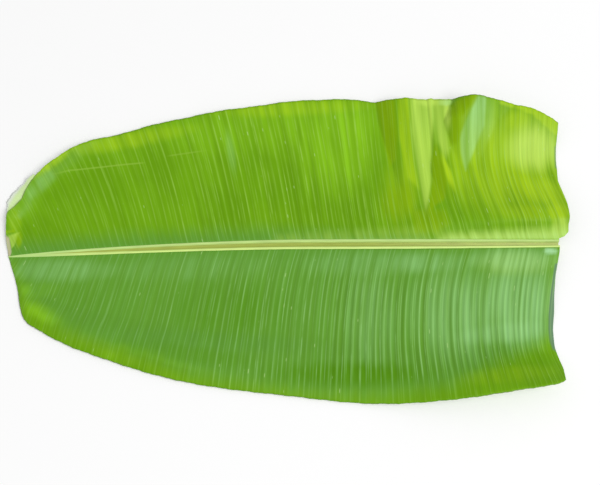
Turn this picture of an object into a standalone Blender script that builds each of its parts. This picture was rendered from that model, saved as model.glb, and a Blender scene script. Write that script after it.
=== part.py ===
"""Banana leaf: the cut tip end of one leaf, lying on a table with its upper side up.

The blade is first laid out flat, as a grid whose columns run along the side veins. It is then cut off
across the thick end, raised into the waves and wrinkles that it lies in, and given its underside.

Metres, +Z up. +X runs along the midrib from the tip to the cut end, and +Y is the far half of the blade.
The origin is on the table, under the middle of the leaf.
"""

import math

import bmesh
import bpy
from mathutils import Vector
from mathutils.geometry import intersect_line_line_2d

# Driving dimensions. A plan point is (distance from the tip, distance to the far side), in metres.
MIDRIB_LENGTH = 0.6648
TIP_OFFSET = -0.0135  # the midrib bends this far to the near side at the tip
STRAIGHT_FROM = 0.3525  # from here to the cut, the midrib is straight
MIDRIB_BEND = 1.6  # how late the bend comes, as a power
CUT_ALLOWANCE = 0.0532  # the grid runs this far past the cut, which then trims it
BLADE_THICK = 0.00085
VEIN_PITCH = 0.0098
PLEAT_PITCH = 2 * VEIN_PITCH  # the ribbing is larger than life: one rib for each two side veins
PLEAT_RISE = 0.0012
PLEAT_FADE = 0.012  # the ribbing fades out over this distance towards the midrib
COLUMN_PITCH = PLEAT_PITCH / 3  # three grid columns for each rib
COLUMNS = round((MIDRIB_LENGTH + CUT_ALLOWANCE) / COLUMN_PITCH)

TIP = (0.0, TIP_OFFSET)
FAR_MARGIN = [
    TIP,
    (-0.0042, 0.010),
    (-0.0052, 0.030),
    (-0.0046, 0.040),
    (0.0036, 0.0488),
    (0.0107, 0.059),
    (0.0145, 0.0697),
    (0.026, 0.0906),
    (0.045, 0.1105),
    (0.082, 0.137),
    (0.130, 0.1525),
    (0.173, 0.1661),
    (0.288, 0.1897),
    (0.400, 0.2008),
    (0.475, 0.1938),
    (0.530, 0.1955),
    (0.576, 0.191),
    (0.615, 0.1845),
    (0.650, 0.1760),
    (0.682, 0.158),
    (0.735, 0.119),
]
NEAR_MARGIN = [
    TIP,
    (0.0145, -0.050),
    (0.0266, -0.0895),
    (0.047, -0.1052),
    (0.0974, -0.129),
    (0.215, -0.1645),
    (0.3525, -0.183),
    (0.443, -0.191),
    (0.5327, -0.1877),
    (0.6205, -0.1760),
    (0.6370, -0.1732),
    (0.6450, -0.1702),
    (0.6510, -0.1660),
    (0.6630, -0.1590),
    (0.7350, -0.1250),
]
# The side veins leave the midrib at a slant and straighten on their way out. Each row is one vein: its
# root's distance from the tip, then how much it leans to the tip at each of the distances from the midrib.
LEAN_DISTANCES = [0.0, 0.02, 0.04, 0.07, 0.10, 0.14, 0.20]
FAR_LEAN = [
    (0.0, 0.60, 0.62, 0.65, 0.65, 0.65, 0.65, 0.65),
    (0.05, 0.50, 0.50, 0.50, 0.55, 0.60, 0.62, 0.62),
    (0.10, 0.42, 0.40, 0.43, 0.48, 0.54, 0.58, 0.58),
    (0.16, 0.38, 0.32, 0.33, 0.36, 0.40, 0.45, 0.48),
    (0.22, 0.34, 0.27, 0.26, 0.30, 0.33, 0.37, 0.40),
    (0.28, 0.32, 0.23, 0.21, 0.24, 0.25, 0.28, 0.30),
    (0.34, 0.30, 0.19, 0.16, 0.18, 0.19, 0.22, 0.23),
    (0.40, 0.28, 0.16, 0.12, 0.12, 0.14, 0.16, 0.16),
    (0.45, 0.28, 0.15, 0.11, 0.10, 0.10, 0.08, 0.08),
    (0.50, 0.30, 0.18, 0.14, 0.10, 0.08, 0.06, 0.06),
    (0.56, 0.34, 0.26, 0.20, 0.13, 0.08, 0.05, 0.04),
    (0.62, 0.34, 0.26, 0.21, 0.12, 0.05, 0.01, 0.0),
    (0.68, 0.32, 0.24, 0.19, 0.14, 0.03, -0.03, -0.05),
]
NEAR_LEAN = [
    (0.0, 0.50, 0.46, 0.42, 0.40, 0.40, 0.40, 0.40),
    (0.06, 0.40, 0.34, 0.30, 0.30, 0.31, 0.33, 0.34),
    (0.145, 0.36, 0.30, 0.25, 0.24, 0.25, 0.27, 0.27),
    (0.24, 0.36, 0.29, 0.20, 0.18, 0.17, 0.18, 0.19),
    (0.33, 0.34, 0.27, 0.20, 0.14, 0.10, 0.09, 0.09),
    (0.43, 0.34, 0.26, 0.19, 0.12, 0.08, 0.05, 0.05),
    (0.52, 0.36, 0.31, 0.22, 0.10, 0.04, -0.03, -0.06),
    (0.60, 0.38, 0.33, 0.23, 0.10, 0.03, -0.03, -0.06),
    (0.663, 0.28, 0.24, 0.21, 0.17, 0.10, -0.14, -0.06),
]
# How far the knife strayed from a square cut: (distance to the far side, distance past the midrib's end).
CUT_LINE = [
    (-0.200, -0.0190),
    (-0.165, -0.0150),
    (-0.155, -0.0136),
    (-0.150, -0.0135),
    (-0.125, -0.0160),
    (-0.104, -0.0155),
    (-0.083, -0.0124),
    (-0.0635, -0.0109),
    (-0.039, -0.0080),
    (-0.012, -0.0015),
    (-0.005, 0.0),
    (0.006, 0.0),
    (0.0085, 0.0065),
    (0.0135, 0.0114),
    (0.021, 0.0105),
    (0.030, 0.0120),
    (0.049, 0.0124),
    (0.071, 0.0102),
    (0.084, 0.0086),
    (0.103, 0.0109),
    (0.130, 0.0119),
    (0.150, 0.0140),
    (0.200, 0.0160),
]

# The midrib, by distance from the tip: its half width, how deep it hangs below the blade, and its groove.
MIDRIB_HALF_WIDTH = [
    (0.0, 0.0009),
    (0.020, 0.0021),
    (0.060, 0.0036),
    (0.150, 0.0052),
    (0.300, 0.0064),
    (0.450, 0.0067),
    (0.560, 0.0062),
    (0.730, 0.0046),
]
MIDRIB_DEPTH = [(0.0, 0.0005), (0.10, 0.0032), (0.30, 0.0070), (0.50, 0.0095), (0.73, 0.0118)]
GROOVE_DEPTH = [(0.0, -0.0005), (0.07, -0.0008), (0.20, 0.0010), (0.40, 0.0026), (0.73, 0.0040)]
RAIL_RISE = 0.0012
FULL_RAIL_WIDTH = 0.004  # the rails are lower where half of the midrib is slimmer than this
# Across half of the midrib: (share of its half width, share of the rail, of the groove and of the depth).
MIDRIB_SECTION = [
    (0.0, 0.0, 1.0, 1.0),
    (0.32, 0.0, 0.9, 1.0),
    (0.62, 1.0, 0.0, 0.8),
    (0.88, 0.8, 0.0, 0.35),
    (1.0, 0.0, 0.0, 0.0),
]
BEYOND_THE_LEAF = 0.3  # longer than any side vein
REACH_STEP = 0.005
PLACE_TRIES = 8
MERGE_DISTANCE = 0.0003
BLADE_ROWS = [0.05, 0.12, 0.24, 0.38, 0.50, 0.62, 0.73, 0.85, 1.0]

# How high the blade lies over the table. Near the tip it is like a low roof: (share of the half's width,
# share of the midrib's depth, height added).
FAR_ROOF = [
    (0.0, 1.0, 0.0),
    (0.12, 0.75, 0.0),
    (0.35, 0.25, 0.0),
    (0.55, 0.0, 0.0),
    (0.78, 0.0, 0.0004),
    (1.0, 0.0, 0.005),
]
FULL_ROOF_REACH = 0.10  # added heights are smaller where the side veins are shorter than this
NEAR_ROOF = [
    (0.0, 1.0, 0.0),
    (0.15, 0.6, 0.0),
    (0.38, 0.2, 0.0),
    (0.56, 0.0, 0.0),
    (0.78, 0.0, 0.006),
    (1.0, 0.0, 0.0006),
]
# At the cut end it rolls: (distance from the midrib, share of the midrib's depth, height added).
FAR_ROLL = [
    (0.0, 1.0, 0.0),
    (0.008, 1.0, 0.003),
    (0.022, 0.0, 0.024),
    (0.045, 0.0, 0.019),
    (0.075, 0.0, 0.008),
    (0.105, 0.0, 0.0),
    (0.125, 0.0, 0.003),
    (0.145, 0.0, 0.011),
    (0.165, 0.0, 0.021),
    (0.210, 0.0, 0.032),
]
NEAR_ROLL = [
    (0.0, 1.0, 0.0),
    (0.010, 1.0, 0.001),
    (0.030, 0.0, 0.009),
    (0.060, 0.0, 0.004),
    (0.095, 0.0, 0.0),
    (0.118, 0.0, 0.001),
    (0.135, 0.0, 0.008),
    (0.150, 0.0, 0.018),
    (0.172, 0.0, 0.033),
    (0.210, 0.0, 0.046),
]
FAR_ROLL_FROM, FAR_ROLL_TO = 0.45, 0.66
NEAR_ROLL_FROM, NEAR_ROLL_TO = 0.40, 0.65

# The far corner of the tip curls up off the table.
CURL_HEIGHT = 0.009
CURL_WIDTH = 0.024
CURL_FADES_FROM, CURL_FADES_TO = 0.05, 0.12
CURL_REACHES_FULL = 0.05  # distance from the midrib

# Wrinkles in the far half. Each is a crest from its inner end to the margin:
# (distance from the midrib, distance from the tip, height, reach towards the tip, reach towards the cut).
FAR_WRINKLES = [
    [
        (0.055, 0.507, 0.0, 0.020, 0.004),
        (0.091, 0.503, 0.006, 0.030, 0.013),
        (0.134, 0.4976, 0.011, 0.036, 0.022),
        (0.172, 0.490, 0.014, 0.038, 0.033),
        (0.210, 0.485, 0.015, 0.036, 0.040),
    ],
    [
        (0.055, 0.549, 0.0, 0.020, 0.040),
        (0.100, 0.538, 0.007, 0.022, 0.040),
        (0.140, 0.526, 0.005, 0.008, 0.040),
        (0.210, 0.520, 0.003, 0.006, 0.030),
    ],
    [
        (0.110, 0.564, 0.0, 0.012, 0.014),
        (0.165, 0.557, 0.012, 0.022, 0.045),
        (0.210, 0.588, 0.017, 0.034, 0.070),
    ],
]
# Low swells along the far margin, between the tip and the wrinkles.
SWELL_LENGTH = 0.083
SWELL_RISE = 0.0022
SWELL_FROM, SWELL_TO = 0.16, 0.45
SWELL_FADE = 0.06

LEAF_GREEN = (0.17, 0.42, 0.03, 1.0)
LEAF_ROUGHNESS = 0.42
MIDRIB_GREEN = (0.62, 0.70, 0.24, 1.0)
MIDRIB_ROUGHNESS = 0.5
SHARP_ANGLE = math.radians(50)
ON_THE_MIDRIB = 1.001  # a vertex this many half widths out, or nearer, belongs to the midrib


def smooth_step(start, end, value):
    """0 before start and 1 after end, with a soft change between them."""
    share = min(1.0, max(0.0, (value - start) / (end - start)))
    return share * share * (3 - 2 * share)


def straight_mix(points, where):
    """The values that the points give at one place, on straight lines between them."""
    if where <= points[0][0]:
        return points[0][1:]
    for before, after in zip(points, points[1:]):
        if where <= after[0]:
            share = (where - before[0]) / (after[0] - before[0])
            return tuple(a + (b - a) * share for a, b in zip(before[1:], after[1:]))
    return points[-1][1:]


def bend_of(points, index, along):
    """The slope of a smooth curve at one of its points, from the points beside it."""
    low, high = max(0, index - 1), min(len(points) - 1, index + 1)
    span = along[high] - along[low]
    return [(b - a) / span for a, b in zip(points[low], points[high])]


def hermite(first, second, first_bend, second_bend, span, share):
    """A point between two, on a curve that leaves and arrives with the given slopes."""
    squared, cubed = share**2, share**3
    weights = (
        2 * cubed - 3 * squared + 1,
        3 * squared - 2 * cubed,
        (cubed - 2 * squared + share) * span,
        (cubed - squared) * span,
    )
    return [
        sum(w * c for w, c in zip(weights, corner))
        for corner in zip(first, second, first_bend, second_bend)
    ]


def smooth_mix(points, where):
    """The values that the points give at one place, on a smooth curve through them."""
    along = [p[0] for p in points]
    values = [p[1:] for p in points]
    where = min(along[-1], max(along[0], where))
    index = max(i for i in range(len(points) - 1) if along[i] <= where)
    span = along[index + 1] - along[index]
    return hermite(
        values[index],
        values[index + 1],
        bend_of(values, index, along),
        bend_of(values, index + 1, along),
        span,
        (where - along[index]) / span,
    )


def smooth_outline(points, steps=8):
    """A smooth line through plan points, as a list of points."""
    along = [0.0]
    for before, after in zip(points, points[1:]):
        along.append(along[-1] + math.dist(before, after))
    stations = [(at, *point) for at, point in zip(along, points)]
    line = []
    for before, after in zip(along, along[1:]):
        line += [smooth_mix(stations, before + (after - before) * i / steps) for i in range(steps)]
    return [Vector(p) for p in line] + [Vector(points[-1])]


def midrib_line(x):
    """How far to the far side the midrib's middle lies."""
    share = max(0.0, (STRAIGHT_FROM - x) / STRAIGHT_FROM)
    return TIP_OFFSET * share**MIDRIB_BEND


def vein_drift(root, distance, side):
    """How far a side vein has come towards the tip at a distance from the midrib."""
    leans = smooth_mix(FAR_LEAN if side > 0 else NEAR_LEAN, root)
    drift = 0.0
    for low, high, first, second in zip(LEAN_DISTANCES, LEAN_DISTANCES[1:], leans, leans[1:]):
        run = min(distance, high) - low
        if run <= 0:
            break
        at_end = first + (second - first) * run / (high - low)
        drift += run * (first + at_end) / 2
    return drift


def vein_point(root, distance, side):
    """The plan point where a side vein has come this far from the midrib."""
    return Vector((root - vein_drift(root, distance, side), midrib_line(root) + side * distance))


def vein_place(x, y):
    """A plan point as (the root of the side vein through it, its distance from the midrib)."""
    root = x
    for _ in range(PLACE_TRIES):
        offset = y - midrib_line(root)
        root = x + vein_drift(root, abs(offset), math.copysign(1, offset))
    return root, abs(y - midrib_line(root))


def vein_reach(root, side, margin):
    """How far from the midrib a side vein meets the margin."""
    distance = 0.0
    inner = vein_point(root, distance, side)
    while distance < BEYOND_THE_LEAF:
        distance += REACH_STEP
        outer = vein_point(root, distance, side)
        for before, after in zip(margin, margin[1:]):
            crossing = intersect_line_line_2d(inner, outer, before, after)
            if crossing:
                return abs(crossing.y - midrib_line(root))
        inner = outer
    raise ValueError(f"the vein at {root} misses the margin")


def margin_gap(x, y, margin):
    """The distance from a plan point to the nearest part of the margin."""
    point = Vector((x, y))
    gaps = []
    for before, after in zip(margin, margin[1:]):
        run = after - before
        share = min(1.0, max(0.0, (point - before).dot(run) / run.length_squared))
        gaps.append((point - before - run * share).length)
    return min(gaps)


def reach_table(side, margin):
    """(root, reach) for a side vein from each grid column."""
    roots = [i * COLUMN_PITCH for i in range(1, COLUMNS + 1)]
    return [(0.0, 0.0)] + [(root, vein_reach(root, side, margin)) for root in roots]


FAR_LINE = smooth_outline(FAR_MARGIN)
NEAR_LINE = smooth_outline(NEAR_MARGIN)
FAR_REACH = reach_table(1, FAR_LINE)
NEAR_REACH = reach_table(-1, NEAR_LINE)


def section_height(section, where, depth, fullness):
    """A cross-section's height over the table, from the midrib's depth and the height added."""
    share, added = smooth_mix(section, where)
    return max(0.0, share * depth + added * fullness)


def wrinkle_height(x, distance):
    """The height that the far half's wrinkles add at a plan point."""
    height = 0.0
    for crest in FAR_WRINKLES:
        if distance < crest[0][0]:
            continue
        middle, rise, tipward, cutward = straight_mix(crest, distance)
        if x < middle:
            share = min(1.0, (middle - x) / tipward)
            height += rise * (1 - share * share)
        else:
            height += rise * max(0.0, 1 - (x - middle) / cutward)
    return height


def blade_height(x, y, root, distance):
    """How high the blade's underside lies over the table at a plan point."""
    far = y > midrib_line(root)
    reach = smooth_mix(FAR_REACH if far else NEAR_REACH, root)[0]
    depth, fullness = smooth_mix(MIDRIB_DEPTH, root)[0], min(1.0, reach / FULL_ROOF_REACH)
    beyond = max(0.0, distance - smooth_mix(MIDRIB_HALF_WIDTH, root)[0])
    outward = min(1.0, beyond / max(reach, VEIN_PITCH))
    if not far:
        rolled = smooth_step(NEAR_ROLL_FROM, NEAR_ROLL_TO, x)
        height = (1 - rolled) * section_height(NEAR_ROOF, outward, depth, fullness)
        return height + rolled * section_height(NEAR_ROLL, beyond, depth, 1.0)
    rolled = smooth_step(FAR_ROLL_FROM, FAR_ROLL_TO, x)
    height = (1 - rolled) * section_height(FAR_ROOF, outward, depth, fullness)
    height += rolled * section_height(FAR_ROLL, beyond, depth, 1.0)
    swell = smooth_step(SWELL_FROM, SWELL_FROM + SWELL_FADE, x)
    swell *= smooth_step(SWELL_TO, SWELL_TO - SWELL_FADE, x)
    height += SWELL_RISE * swell * outward**2 * (1 - math.cos(math.tau * root / SWELL_LENGTH)) / 2
    curl = smooth_step(CURL_FADES_TO, CURL_FADES_FROM, x) * min(1.0, distance / CURL_REACHES_FULL)
    if curl > 0:
        inward = min(1.0, margin_gap(x, y, FAR_LINE) / CURL_WIDTH)
        height += CURL_HEIGHT * curl * (1 - inward) ** 2
    return height + wrinkle_height(x, distance)


def pleat_height(root, distance, edge):
    """The ribbing: each rib rises over a third of its pitch and falls over the rest."""
    phase = root / PLEAT_PITCH % 1
    return PLEAT_RISE * smooth_step(edge, edge + PLEAT_FADE, distance) * min(3 * phase, 1.5 * (1 - phase))


def leaf_heights(x, y):
    """(height of the underside, height of the upper side) at a plan point."""
    root, distance = vein_place(x, y)
    edge = smooth_mix(MIDRIB_HALF_WIDTH, root)[0]
    if distance >= edge:
        under = blade_height(x, y, root, distance) + pleat_height(root, distance, edge)
        return under, under + BLADE_THICK
    rail, groove, deep = straight_mix(MIDRIB_SECTION, distance / edge)
    depth = smooth_mix(MIDRIB_DEPTH, root)[0]
    slimness = min(1.0, edge / FULL_RAIL_WIDTH)
    upper = depth + BLADE_THICK + rail * slimness * RAIL_RISE - groove * smooth_mix(GROOVE_DEPTH, root)[0]
    return (1 - deep) * depth, upper


def cut_stray(y):
    """How far past the midrib's end the knife has cut at this distance to the far side."""
    return straight_mix(CUT_LINE, y)[0]


def row_places():
    """The grid's rows from the near margin to the far one: (side, place in the midrib, in the blade)."""
    inside = [(place, 0.0) for place, *_ in MIDRIB_SECTION]
    outside = [(1.0, place) for place in BLADE_ROWS]
    half = inside + outside
    return [(-1, *place) for place in reversed(half[1:])] + [(1, *place) for place in half]


def flat_sheet():
    """The blade laid flat: a grid along the side veins, drawn together at the tip and cut across."""
    rows = row_places()
    sheet = bmesh.new()
    bmesh.ops.create_grid(sheet, x_segments=COLUMNS, y_segments=len(rows) - 1, size=0.5)
    for vertex in sheet.verts:
        column = round((vertex.co.x + 0.5) * COLUMNS)
        side, in_rib, in_blade = rows[round((vertex.co.y + 0.5) * (len(rows) - 1))]
        root = column * COLUMN_PITCH
        if column == 0:
            vertex.co = (*TIP, 0.0)
            continue
        edge = smooth_mix(MIDRIB_HALF_WIDTH, root)[0]
        reach = (FAR_REACH if side > 0 else NEAR_REACH)[column][1]
        distance = edge * in_rib + (reach - edge) * in_blade
        vertex.co = (*vein_point(root, distance, side), 0.0)
    bmesh.ops.remove_doubles(sheet, verts=sheet.verts[:], dist=MERGE_DISTANCE)
    for vertex in sheet.verts:
        vertex.co.x -= cut_stray(vertex.co.y)
    bmesh.ops.bisect_plane(
        sheet,
        geom=sheet.verts[:] + sheet.edges[:] + sheet.faces[:],
        plane_co=(MIDRIB_LENGTH, 0, 0),
        plane_no=(1, 0, 0),
        clear_outer=True,
    )
    for vertex in sheet.verts:
        vertex.co.x += cut_stray(vertex.co.y)
    bmesh.ops.remove_doubles(sheet, verts=sheet.verts[:], dist=MERGE_DISTANCE)
    bmesh.ops.triangulate(sheet, faces=sheet.faces[:])
    return sheet


def leaf_material(name, colour, roughness):
    material = bpy.data.materials.new(name)
    material.use_nodes = True
    shader = material.node_tree.nodes["Principled BSDF"]
    shader.inputs["Base Color"].default_value = colour
    shader.inputs["Roughness"].default_value = roughness
    shader.inputs["Metallic"].default_value = 0.0
    material.diffuse_color = colour
    return material


def banana_leaf():
    """The whole leaf, one closed solid: the sheet is its underside, and a copy above is its upper side."""
    leaf = flat_sheet()
    under_side = leaf.verts[:]
    raised = bmesh.ops.extrude_face_region(leaf, geom=leaf.faces[:], use_keep_orig=True)
    upper_side = [v for v in raised["geom"] if isinstance(v, bmesh.types.BMVert)]
    half_widths_out = {}
    for side_number, vertices in enumerate((under_side, upper_side)):
        for vertex in vertices:
            x, y = vertex.co.x, vertex.co.y
            root, distance = vein_place(x, y)
            half_widths_out[vertex] = distance / smooth_mix(MIDRIB_HALF_WIDTH, root)[0]
            vertex.co = (x, y, leaf_heights(x, y)[side_number])
    places = [v.co for v in leaf.verts]
    middle_x = (min(p.x for p in places) + max(p.x for p in places)) / 2
    middle_y = (min(p.y for p in places) + max(p.y for p in places)) / 2
    bmesh.ops.translate(leaf, verts=leaf.verts[:], vec=(-middle_x, -middle_y, 0.0))
    bmesh.ops.recalc_face_normals(leaf, faces=leaf.faces[:])
    for face in leaf.faces:
        face.material_index = int(all(half_widths_out[v] < ON_THE_MIDRIB for v in face.verts))
    mesh = bpy.data.meshes.new("banana_leaf")
    leaf.to_mesh(mesh)
    leaf.free()
    mesh.materials.append(leaf_material("leaf_green", LEAF_GREEN, LEAF_ROUGHNESS))
    mesh.materials.append(leaf_material("midrib_pale_green", MIDRIB_GREEN, MIDRIB_ROUGHNESS))
    mesh.shade_smooth()
    mesh.set_sharp_from_angle(angle=SHARP_ANGLE)
    thing = bpy.data.objects.new("banana_leaf", mesh)
    bpy.context.scene.collection.objects.link(thing)
    return thing


for old in list(bpy.data.objects):
    bpy.data.objects.remove(old)
banana_leaf()
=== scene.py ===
# %% [markdown]
# # A banana leaf on a pale table
# The object is the tip end of one banana leaf, cut across at its thick end and laid down with its upper
# side up. This lesson dresses the packed CAD part with a finely modelled leaf: two blade halves, the
# midrib between them, and a bleached sliver at the tip.
#
# All lengths are metres. The frame is the CAD part's own: +X runs along the midrib from the tip to the cut
# end, +Y is the half of the blade that lies away from the viewer, and the table is at Z = 0.

# %% Load the frame
import math

import bpy
import numpy as np
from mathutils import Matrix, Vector


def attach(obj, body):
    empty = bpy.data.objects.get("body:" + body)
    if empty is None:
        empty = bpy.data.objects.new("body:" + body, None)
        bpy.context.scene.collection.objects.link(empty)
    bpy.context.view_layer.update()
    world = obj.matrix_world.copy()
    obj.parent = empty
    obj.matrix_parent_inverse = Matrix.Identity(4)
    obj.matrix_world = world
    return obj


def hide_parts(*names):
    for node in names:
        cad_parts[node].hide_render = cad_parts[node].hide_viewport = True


MM, CM = 0.001, 0.01  # in metres

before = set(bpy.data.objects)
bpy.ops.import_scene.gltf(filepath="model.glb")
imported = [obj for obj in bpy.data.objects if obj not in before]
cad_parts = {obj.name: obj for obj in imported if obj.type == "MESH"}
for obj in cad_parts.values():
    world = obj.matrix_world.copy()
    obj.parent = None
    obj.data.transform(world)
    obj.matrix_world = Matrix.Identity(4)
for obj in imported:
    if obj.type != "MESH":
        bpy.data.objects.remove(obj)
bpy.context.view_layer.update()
print("CAD nodes to dress:", list(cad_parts))

# %% [markdown]
# ## Tables and curves
# The leaf is drawn from short tables of measured numbers, such as the margin's points and the midrib's
# width. A table can be read on straight lines between its rows, or on a smooth curve through them. The
# curve is a Hermite curve: its slope at each row comes from the rows beside it.
#
# Blender's curve objects could hold these lines too, but the blade needs them at each of its vertices, so
# two small functions that work on whole arrays are simpler and quicker.


# %% Reading a table
def straight_mix(table, where):
    """The table's columns at each place, on straight lines between its rows."""
    rows = np.array(table, float)
    return np.stack([np.interp(where, rows[:, 0], column) for column in rows[:, 1:].T], axis=-1)


def smooth_mix(table, where):
    """The table's columns at each place, on a smooth curve through its rows."""
    rows = np.array(table, float)
    along, values = rows[:, 0], rows[:, 1:]
    slopes = np.empty_like(values)
    slopes[1:-1] = (values[2:] - values[:-2]) / (along[2:] - along[:-2])[:, None]
    slopes[0] = (values[1] - values[0]) / (along[1] - along[0])
    slopes[-1] = (values[-1] - values[-2]) / (along[-1] - along[-2])
    where = np.clip(where, along[0], along[-1])
    index = np.clip(np.searchsorted(along, where, side="right") - 1, 0, len(along) - 2)
    span = (along[index + 1] - along[index])[..., None]
    share = (where - along[index])[..., None] / span
    squared, cubed = share**2, share**3
    return (
        (2 * cubed - 3 * squared + 1) * values[index]
        + (3 * squared - 2 * cubed) * values[index + 1]
        + (cubed - 2 * squared + share) * span * slopes[index]
        + (cubed - squared) * span * slopes[index + 1]
    )


def smooth_step(start, end, value):
    """0 before start and 1 after end, with a soft change between them."""
    share = np.clip((value - start) / (end - start), 0.0, 1.0)
    return share * share * (3 - 2 * share)


print("halfway between 0 and 1 a soft step is", float(smooth_step(0.0, 1.0, 0.5)))

# %% [markdown]
# ## The leaf laid flat
# On the real leaf the midrib runs nearly straight, with a slight bend at the tip. The side veins leave it
# at a slant and straighten on their way to the margin. Such a leaf is drawn best in its own coordinates:
# the root of a side vein, which is a distance along the midrib, and the distance out from the midrib.
# These tables are the same as in the CAD part, so the two lie on each other.

# %% The flat outline
MIDRIB_LENGTH = 0.6648
TIP_OFFSET = -0.0135  # the midrib bends this far to the near side at the tip
STRAIGHT_FROM = 0.3525  # from here to the cut, the midrib is straight
MIDRIB_BEND = 1.6  # how late the bend comes, as a power
PLAN_MIDDLE = (0.33698, 0.00480)  # the middle of the CAD part's box, in plan
FAR, NEAR = 1, -1

# Points of the two margins: (along the midrib, to the far side).
MARGIN = {
    FAR: [
        (0.0, TIP_OFFSET), (-0.0042, 0.010), (-0.0052, 0.030), (-0.0046, 0.040), (0.0036, 0.0488),
        (0.0107, 0.059), (0.0145, 0.0697), (0.026, 0.0906), (0.045, 0.1105), (0.082, 0.137),
        (0.130, 0.1525), (0.173, 0.1661), (0.288, 0.1897), (0.400, 0.2008), (0.475, 0.1938),
        (0.530, 0.1955), (0.576, 0.191), (0.615, 0.1845), (0.650, 0.1760), (0.682, 0.158),
        (0.735, 0.119),
    ],
    NEAR: [
        (0.0, TIP_OFFSET), (0.0145, -0.050), (0.0266, -0.0895), (0.047, -0.1052), (0.0974, -0.129),
        (0.215, -0.1645), (0.3525, -0.183), (0.443, -0.191), (0.5327, -0.1877), (0.6205, -0.1760),
        (0.6370, -0.1732), (0.6450, -0.1702), (0.6510, -0.1660), (0.6630, -0.1590), (0.7350, -0.1250),
    ],
}
# Each row is a side vein: its root, then how much it leans to the tip at each distance from the midrib.
LEAN_DISTANCES = [0.0, 0.02, 0.04, 0.07, 0.10, 0.14, 0.20]
VEIN_LEAN = {
    FAR: [
        (0.0, 0.60, 0.62, 0.65, 0.65, 0.65, 0.65, 0.65),
        (0.05, 0.50, 0.50, 0.50, 0.55, 0.60, 0.62, 0.62),
        (0.10, 0.42, 0.40, 0.43, 0.48, 0.54, 0.58, 0.58),
        (0.16, 0.38, 0.32, 0.33, 0.36, 0.40, 0.45, 0.48),
        (0.22, 0.34, 0.27, 0.26, 0.30, 0.33, 0.37, 0.40),
        (0.28, 0.32, 0.23, 0.21, 0.24, 0.25, 0.28, 0.30),
        (0.34, 0.30, 0.19, 0.16, 0.18, 0.19, 0.22, 0.23),
        (0.40, 0.28, 0.16, 0.12, 0.12, 0.14, 0.16, 0.16),
        (0.45, 0.28, 0.15, 0.11, 0.10, 0.10, 0.08, 0.08),
        (0.50, 0.30, 0.18, 0.14, 0.10, 0.08, 0.06, 0.06),
        (0.56, 0.34, 0.26, 0.20, 0.13, 0.08, 0.05, 0.04),
        (0.62, 0.34, 0.26, 0.21, 0.12, 0.05, 0.01, 0.0),
        (0.68, 0.32, 0.24, 0.19, 0.14, 0.03, -0.03, -0.05),
    ],
    NEAR: [
        (0.0, 0.50, 0.46, 0.42, 0.40, 0.40, 0.40, 0.40),
        (0.06, 0.40, 0.34, 0.30, 0.30, 0.31, 0.33, 0.34),
        (0.145, 0.36, 0.30, 0.25, 0.24, 0.25, 0.27, 0.27),
        (0.24, 0.36, 0.29, 0.20, 0.18, 0.17, 0.18, 0.19),
        (0.33, 0.34, 0.27, 0.20, 0.14, 0.10, 0.09, 0.09),
        (0.43, 0.34, 0.26, 0.19, 0.12, 0.08, 0.05, 0.05),
        (0.52, 0.36, 0.31, 0.22, 0.10, 0.04, -0.03, -0.06),
        (0.60, 0.38, 0.33, 0.23, 0.10, 0.03, -0.03, -0.06),
        (0.663, 0.28, 0.24, 0.21, 0.17, 0.10, -0.14, -0.06),
    ],
}
# How far the knife strayed from a square cut: (distance to the far side, distance past the midrib's end).
CUT_LINE = [
    (-0.200, -0.0190), (-0.165, -0.0150), (-0.155, -0.0136), (-0.150, -0.0135), (-0.125, -0.0160),
    (-0.104, -0.0155), (-0.083, -0.0124), (-0.0635, -0.0109), (-0.039, -0.0080), (-0.012, -0.0015),
    (-0.005, 0.0), (0.006, 0.0), (0.0085, 0.0065), (0.0135, 0.0114), (0.021, 0.0105), (0.030, 0.0120),
    (0.049, 0.0124), (0.071, 0.0102), (0.084, 0.0086), (0.103, 0.0109), (0.130, 0.0119),
    (0.150, 0.0140), (0.200, 0.0160),
]


def smooth_outline(points, steps=12):
    """A smooth line through plan points, as an array of points."""
    corners = np.array(points, float)
    runs = np.linalg.norm(np.diff(corners, axis=0), axis=1)
    along = np.concatenate([[0.0], np.cumsum(runs)])
    table = np.column_stack([along, corners])
    shares = np.arange(steps) / steps
    stations = (along[:-1, None] + runs[:, None] * shares).ravel()
    return np.vstack([smooth_mix(table, stations), corners[-1:]])


MARGIN_LINE = {side: smooth_outline(points) for side, points in MARGIN.items()}
print("points on the two margins:", {side: len(line) for side, line in MARGIN_LINE.items()})


# %% Where the side veins run
def midrib_line(x):
    """How far to the far side the midrib's middle lies."""
    share = np.maximum(0.0, (STRAIGHT_FROM - x) / STRAIGHT_FROM)
    return TIP_OFFSET * share**MIDRIB_BEND


def vein_drift(root, distance, side):
    """How far a side vein has come towards the tip at a distance from the midrib."""
    leans = smooth_mix(VEIN_LEAN[side], root)
    drift = np.zeros(np.broadcast(root, distance).shape)
    for k, low in enumerate(LEAN_DISTANCES[:-1]):
        length = LEAN_DISTANCES[k + 1] - low
        run = np.clip(distance - low, 0.0, length)
        first, second = leans[..., k], leans[..., k + 1]
        drift += run * (first + (second - first) * run / length / 2)
    return drift


def vein_points(roots, distance, side):
    """The plan points where side veins have come this far from the midrib."""
    return np.column_stack([roots - vein_drift(roots, distance, side), midrib_line(roots) + side * distance])


def vein_place(x, y, side, tries=10):
    """A plan point as (the root of the side vein through it, its distance from the midrib)."""
    root = x.copy()
    for _ in range(tries):
        root = x + vein_drift(root, np.abs(y - midrib_line(root)), side)
    return root, np.abs(y - midrib_line(root))


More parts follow.
